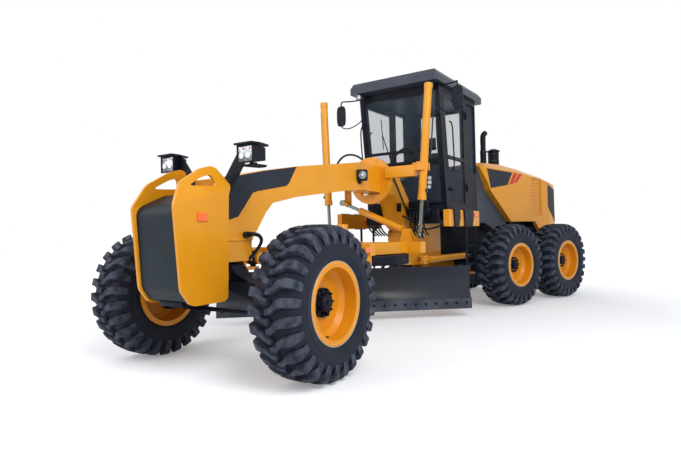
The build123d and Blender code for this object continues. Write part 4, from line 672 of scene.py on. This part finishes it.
# Corner grilles that follow the hood's taper: x, high z, low z
CORNER = [(-2.86, 2.135, 1.70), (-2.90, 2.125, 1.635), (-3.02, 2.095, 1.54), (-3.14, 2.065, 1.44),
          (-3.19, 2.045, 1.40)]
bm = bmesh.new()
for sign in (1, -1):
    for near, far in zip(CORNER[:-1], CORNER[1:]):
        corners = [(near[0], near[1]), (far[0], far[1]), (far[0], far[2]), (near[0], near[2])]
        inner = [bm.verts.new((x, sign * (hood_y(x) - 0.002), z)) for x, z in corners]
        outer = [bm.verts.new((x, sign * (hood_y(x) + 0.004), z)) for x, z in corners]
        bm.faces.new(outer)
        bm.faces.new(inner)
        for a in range(4):
            b = (a + 1) % 4
            bm.faces.new((inner[a], inner[b], outer[b], outer[a]))
piece("corner_grilles", "rear", mesh_of(bm), CHARCOAL, REAR, smooth=20)
bm = bmesh.new()
SLATS, SLAT_LOW, SLAT_STEP, SLAT_END, SLAT_OUT = 16, 1.56, 0.033, -3.165, 0.007
for sign in (1, -1):
    for count in range(SLATS):
        z = SLAT_LOW + SLAT_STEP * count
        start = -2.93 if z > 1.62 else -3.02
        ends = [(x, sign * (hood_y(x) + SLAT_OUT), z) for x in (start, SLAT_END)]
        add_rod(bm, ends[0], ends[1], 0.006, 6)
piece("corner_slats", "rear", mesh_of(bm), BLACK, REAR)
boxes("tail_lamps", "rear", pair((-3.222, 0.40, 1.38), (0.02, 0.12, 0.06)), RED, REAR)

# Exhaust tip, bands round the exhaust and the pre-cleaner
EXHAUST_TIP = [(-1.12, 0.30, 2.84), (-1.12, 0.30, 2.92), (-1.125, 0.30, 2.98), (-1.15, 0.30, 3.02),
               (-1.19, 0.30, 3.04)]
tube("exhaust_tip", "rear", EXHAUST_TIP, 0.050, BLACK, REAR, sides=10)
bm = bmesh.new()
for z in (2.50, 2.68):
    add_rod(bm, (-1.12, 0.30, z), (-1.12, 0.30, z + 0.02), 0.060, 28)
for z in (2.47, 2.60, 2.73):
    add_rod(bm, (-1.86, 0, z), (-1.86, 0, z + 0.018), 0.109, 36)
piece("stack_bands", "rear", mesh_of(bm), DARK_STEEL, REAR)

# Doors: grab bars and locks ride on the doors
for side, sign in SIDES:
    tube(f"door_grab_{side}", f"door_{side}", [(-0.42, sign * 0.690, 2.95), (-0.40, sign * 0.745, 2.95),
                                               (-0.42, sign * 0.745, 2.60), (-0.46, sign * 0.745, 2.20),
                                               (-0.48, sign * 0.690, 2.20)], 0.011, BLACK)
    bolts(f"door_lock_{side}", f"door_{side}", [(-0.50, sign * 0.721, 1.90)], (0, sign, 0), 0.016, 0.010)

# Cab: lamps, mirrors, antenna, grab bars, wipers, screen, roof lining, levers
bm = bmesh.new()
for sign in (1, -1):
    add_rod(bm, (0.148, sign * 0.60, 3.42), (0.158, sign * 0.60, 3.42), 0.042, 28, 0.034)
piece("roof_lenses", "front", mesh_of(bm), LENS)
MIRROR_Y, MIRROR_Z, OVAL_TURNS, OVAL_POWER = 1.01, 3.19, 40, 0.55
shell = bmesh.new()
face = bmesh.new()
for sign in (1, -1):
    # Half width, half height, back and front of the housing and of its glass
    for target, half_w, half_h, low, high in ((shell, 0.083, 0.168, 0.025, 0.064),
                                              (face, 0.072, 0.156, 0.0225, 0.0255)):
        oval = []
        for turn_no in range(OVAL_TURNS):
            angle = 2 * math.pi * turn_no / OVAL_TURNS
            c, n = math.cos(angle), math.sin(angle)
            oval.append((sign * MIRROR_Y + half_w * math.copysign(abs(c) ** OVAL_POWER, c),
                         MIRROR_Z + half_h * math.copysign(abs(n) ** OVAL_POWER, n)))
        add_plate(target, oval, "X", low, high)
shells = piece("mirror_shells", "front", mesh_of(shell), PLASTIC)
soften(shells, 0.014, 60, segments=3)
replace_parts(shells, "mirrors")
piece("mirror_faces", "front", mesh_of(face), MIRROR)
for side, sign in SIDES:
    tube(f"mirror_arm_{side}", "front", [(-0.08, sign * 0.695, 3.44), (-0.08, sign * 0.90, 3.44),
                                         (0.02, sign * 1.00, 3.44), (0.045, sign * MIRROR_Y, 3.40),
                                         (0.045, sign * MIRROR_Y, 3.34)], 0.011, BLACK)
    tube(f"mirror_loop_{side}", "front", [(0.045, sign * MIRROR_Y, 3.03), (0.045, sign * 1.00, 2.99),
                                          (0.00, sign * 0.88, 2.97), (-0.07, sign * 0.72, 3.06),
                                          (-0.08, sign * 0.695, 3.10)], 0.009, BLACK)
boxes("antenna_foot", "front", [((-0.25, 0.48, 3.645), (0.05, 0.05, 0.02))], BLACK)
bm = bmesh.new()
add_rod(bm, (-0.25, 0.48, 3.64), (-0.26, 0.48, 3.70), 0.005, 8)
piece("antenna", "front", mesh_of(bm), BLACK)
for side, sign in SIDES:
    tube(f"pillar_grab_{side}", "front", [(-0.085, sign * 0.64, 3.02), (0.02, sign * 0.66, 3.00),
                                          (0.00, sign * 0.66, 2.62), (-0.06, sign * 0.66, 2.24),
                                          (-0.15, sign * 0.64, 2.22)], 0.011, BLACK)
    bm = bmesh.new()
    add_rod(bm, (-0.120, sign * 0.18, 2.36), (-0.065, sign * 0.30, 2.80), 0.008, 8)
    add_rod(bm, (-0.088, sign * 0.30, 2.58), (-0.030, sign * 0.30, 3.05), 0.007, 8)
    piece(f"wiper_{side}", "front", mesh_of(bm), BLACK)
boxes("cab_screen", "front", [((-0.36, 0.36, 2.62), (0.03, 0.24, 0.19)),
                              ((-0.40, 0.36, 2.45), (0.03, 0.03, 0.20))], PLASTIC)
boxes("roof_lining", "front", [((-0.88, 0, 3.455), (1.50, 1.20, 0.02))], PLASTIC)
bm = bmesh.new()
for sign in (1, -1):
    for count in range(3):
        x = -0.66 - 0.09 * count
        add_rod(bm, (x, sign * 0.33, 1.97), (x + 0.03, sign * 0.33, 2.17), 0.007, 8)
        add_rod(bm, (x + 0.03, sign * 0.33, 2.16), (x + 0.035, sign * 0.33, 2.21), 0.020, 12)
piece("levers", "front", mesh_of(bm), PLASTIC)

# Side boxes: black panels and orange markers; markers on the drawbar
STRAPS = [(0.18, -0.06), (-0.22, -0.62)]
for name, (near, far) in zip(("a", "b"), STRAPS):
    shape = [(near, 1.573), (near - 0.03, 1.31), (far + 0.06, 1.31), (far, 1.45), (far, 1.573)]
    plates(f"box_step_{name}", "front", shape, 0.950, 0.022, BLACK)
boxes("box_markers", "front", pair((-0.76, 0.956, 1.492), (0.12, 0.014, 0.065)), ORANGE)
DRAW_MARKER = [(1.76, 1.015), (1.88, 1.015), (1.88, 1.075), (1.76, 1.075)]
plates("draw_markers", "drawbar", DRAW_MARKER, 0.502, 0.010, ORANGE)

# Hoses with a mirror image: name, radius, points on the left side
HOSE_ROUTES = (
    ("lift_hose", 0.015, [(0.70, 0.70, 2.26), (0.68, 0.62, 2.42), (0.64, 0.40, 2.44), (0.60, 0.22, 2.30),
                          (0.58, 0.18, 2.195)]),
    ("leg_hose", 0.014, [(0.52, 0.155, 2.10), (0.44, 0.19, 1.96), (0.24, 0.19, 1.70), (0.02, 0.18, 1.50),
                         (-0.10, 0.16, 1.44)]),
    ("hitch_hose", 0.014, [(0.20, 0.152, 1.50), (0.14, 0.30, 1.40), (0.02, 0.42, 1.28), (-0.14, 0.52, 1.30),
                           (-0.24, 0.66, 1.36)]),
)


def lift_line(sign):
    """Upper pin, lower eye and the way between them of one lift cylinder."""
    pin, eye = Vector((0.793, sign * 0.795, 2.13)), Vector((0.84, sign * 0.735, 1.205))
    return pin, eye, (eye - pin).normalized()


# Lift cylinders: caps, pipes and ports on the barrels, hoses to the saddle and down the leg
# Caps along the axis from the pin: start, end, radius
LIFT_CAPS = ((-1.127, -1.06, 0.058), (0.385, 0.452, 0.059))
for side, sign in SIDES:
    body = f"lift_barrel_{side}"
    pin, eye, axis = lift_line(sign)
    out = Vector((0, sign, 0))
    aside = Vector((-0.35, 0.94 * sign, 0))
    bm = bmesh.new()
    for start, end, radius in LIFT_CAPS:
        add_rod(bm, pin + axis * start, pin + axis * end, radius, 28)
    piece(f"lift_caps_{side}", body, mesh_of(bm), YELLOW)
    top, low = pin - axis * 1.03, pin + axis * 0.33
    beside = aside * 0.085
    tube(f"lift_pipe_{side}", body, [top + aside * 0.05, top + beside, pin - axis * 0.9 + beside,
                                     pin - axis * 0.12 + beside], 0.010, DARK_STEEL)
    bm = bmesh.new()
    add_rod(bm, low + out * 0.045, low + out * 0.075, 0.022, 14)
    piece(f"lift_port_{side}", body, mesh_of(bm), DARK_STEEL)
    for hose_name, radius, route in HOSE_ROUTES:
        tube(f"{hose_name}_{side}", "front", [(x, sign * y, z) for x, y, z in route], radius, HOSE)

# Shift cylinder's rod end, valves on the lift barrels, caps on the lift rods' eyes
shift_eye, shift_pin = Vector((0.69, -0.59, 1.71)), Vector((0.69, 0.47, 1.26))
shift_way = (shift_pin - shift_eye).normalized()
bm = bmesh.new()
add_rod(bm, shift_eye + shift_way * 0.030, shift_eye + shift_way * 0.105, 0.032, 24)
add_rod(bm, shift_eye - Vector((0.024, 0, 0)), shift_eye + Vector((0.024, 0, 0)), 0.0465, 28)
piece("shift_rod_end", "shift_rod", mesh_of(bm), YELLOW)
for side, sign in SIDES:
    pin, eye, axis = lift_line(sign)
    back = Vector((-0.030, sign * 0.082, 0))
    bm = bmesh.new()
    for reach, size in ((0.16, 0.024), (0.22, 0.030), (0.28, 0.024)):
        spot = pin + axis * reach + back
        add_rod(bm, spot - axis * 0.022, spot + axis * 0.022, size, 10)
        add_rod(bm, spot, spot - back * 0.5, 0.012, 8)
    piece(f"lift_valve_{side}", f"lift_barrel_{side}", mesh_of(bm), SILVER)
    bm = bmesh.new()
    add_rod(bm, eye + back * 0.4, eye + back * 0.62, 0.048, 28, 0.044)
    piece(f"lift_eye_cap_{side}", f"lift_rod_{side}", mesh_of(bm), BLACK)
    bm = bmesh.new()
    add_rod(bm, eye + back * 0.6, eye + back * 0.72, 0.030, 28, 0.022)
    piece(f"lift_eye_face_{side}", f"lift_rod_{side}", mesh_of(bm), SILVER)

# Valve banks and hoses under the cab's front, plates on the leg, sill and crossbar of the windscreen
for side, sign in SIDES:
    boxes(f"valve_bank_{side}", "front", [((0.02, sign * 0.36, 1.54), (0.16, 0.34, 0.13)),
                                          ((0.05, sign * 0.36, 1.66), (0.10, 0.30, 0.10)),
                                          ((-0.08, sign * 0.42, 1.48), (0.10, 0.40, 0.22))], BLACK)
    for count in range(5):
        y = sign * (0.26 + 0.055 * count)
        route = [(0.10, y, 1.55), (0.155, y, 1.53), (0.165, y, 1.42), (0.10, y * 0.98, 1.27),
                 (-0.06, y * 0.95, 1.20)]
        tube(f"bank_hose_{side}_{count}", "front", route, 0.012, HOSE)
boxes("leg_plates", "front", pair((0.30, 0.153, 1.62), (0.14, 0.008, 0.13)), BLACK)
boxes("cab_sill", "front", [((-0.245, 0, 1.60), (0.03, 1.30, 0.10)),
                            ((-0.075, 0, 2.505), (0.03, 1.22, 0.045))], BLACK)

# Floor and light
FLOOR_SIZE, FLOOR_Z = 120, -0.002
# Floor glow strength from near to far, painted light that brightens the far floor
FLOOR_NEAR, FLOOR_FAR, PAINTED_GLOW_NEAR, PAINTED_GLOW_FAR = 3.5, 9.0, 0.20, 0.80
WORLD_LIGHT, WORLD_SEEN = 0.55, 1.0
bpy.ops.mesh.primitive_plane_add(size=FLOOR_SIZE, location=(0, 0, FLOOR_Z))
floor = bpy.context.object
floor.name = "floor"
floor_mat = finish("floor_pale", (0.82, 0.85, 0.90), (0.84, 0.87, 0.92), (0.85, 0.95), scale=0.3, mirror=0.1)


def combine(tree, operation, first):
    """Math node on one source; its second input is left to the caller."""
    node = tree.nodes.new("ShaderNodeMath")
    node.operation = operation
    tree.links.new(first, node.inputs[0])
    return node


def seen(tree, low, high, socket):
    """Drive a socket from low to high for rays from the camera, off mirrors and through glass."""
    path = tree.nodes.new("ShaderNodeLightPath")
    source = path.outputs["Is Camera Ray"]
    for ray in ("Is Glossy Ray", "Is Transmission Ray"):
        node = combine(tree, "MAXIMUM", source)
        tree.links.new(path.outputs[ray], node.inputs[1])
        source = node.outputs[0]
    scalar(tree, source, low, high, socket)


# The floor glows white for rays from the camera, off mirrors and through glass, weakly near the machine and
# more with distance: painted light that stands in for the lamps' light on the far floor, so that shadows stay
# near the machine
floor_tree = floor_mat.node_tree
floor_shader = floor_tree.nodes["Principled BSDF"]
floor_place = floor_tree.nodes.new("ShaderNodeTexCoord")
floor_reach = floor_tree.nodes.new("ShaderNodeVectorMath")
floor_reach.operation = "LENGTH"
floor_tree.links.new(floor_place.outputs["Object"], floor_reach.inputs[0])
floor_fade = floor_tree.nodes.new("ShaderNodeMapRange")
for key, value in (("From Min", FLOOR_NEAR), ("From Max", FLOOR_FAR), ("To Min", PAINTED_GLOW_NEAR),
                   ("To Max", PAINTED_GLOW_FAR)):
    floor_fade.inputs[key].default_value = value
floor_tree.links.new(floor_reach.outputs["Value"], floor_fade.inputs["Value"])
floor_painted_glow = combine(floor_tree, "MULTIPLY", floor_fade.outputs["Result"])
seen(floor_tree, 0.0, 1.0, floor_painted_glow.inputs[1])
floor_tree.links.new(floor_painted_glow.outputs[0], floor_shader.inputs["Emission Strength"])
floor_shader.inputs["Emission Color"].default_value = (1, 1, 1, 1)
# From below the floor is see-through
floor_side = floor_tree.nodes.new("ShaderNodeNewGeometry")
floor_clear = floor_tree.nodes.new("ShaderNodeBsdfTransparent")
floor_mix = floor_tree.nodes.new("ShaderNodeMixShader")
floor_tree.links.new(floor_side.outputs["Backfacing"], floor_mix.inputs[0])
floor_tree.links.new(floor_shader.outputs[0], floor_mix.inputs[1])
floor_tree.links.new(floor_clear.outputs[0], floor_mix.inputs[2])
floor_tree.links.new(floor_mix.outputs[0], floor_tree.nodes["Material Output"].inputs["Surface"])
floor.data.materials.append(floor_mat)
floor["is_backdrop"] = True

world = bpy.data.worlds.new("world")
scene.world = world
world.use_nodes = True
world.node_tree.nodes["Background"].inputs["Color"].default_value = (1, 1, 1, 1)
seen(world.node_tree, WORLD_LIGHT, WORLD_SEEN, world.node_tree.nodes["Background"].inputs["Strength"])


def area_light(name, spot, target, size, power):
    data = bpy.data.lights.new(name, "AREA")
    data.size = size
    data.energy = power
    obj = bpy.data.objects.new(name, data)
    scene.collection.objects.link(obj)
    obj.location = spot
    obj.rotation_euler = (Vector(target) - Vector(spot)).to_track_quat("-Z", "Y").to_euler()


area_light("key", (6, 7, 7), (0, 0, 1.4), 5, 620)
area_light("fill", (8, -4, 5), (1, 0, 1.2), 6, 200)

low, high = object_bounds()
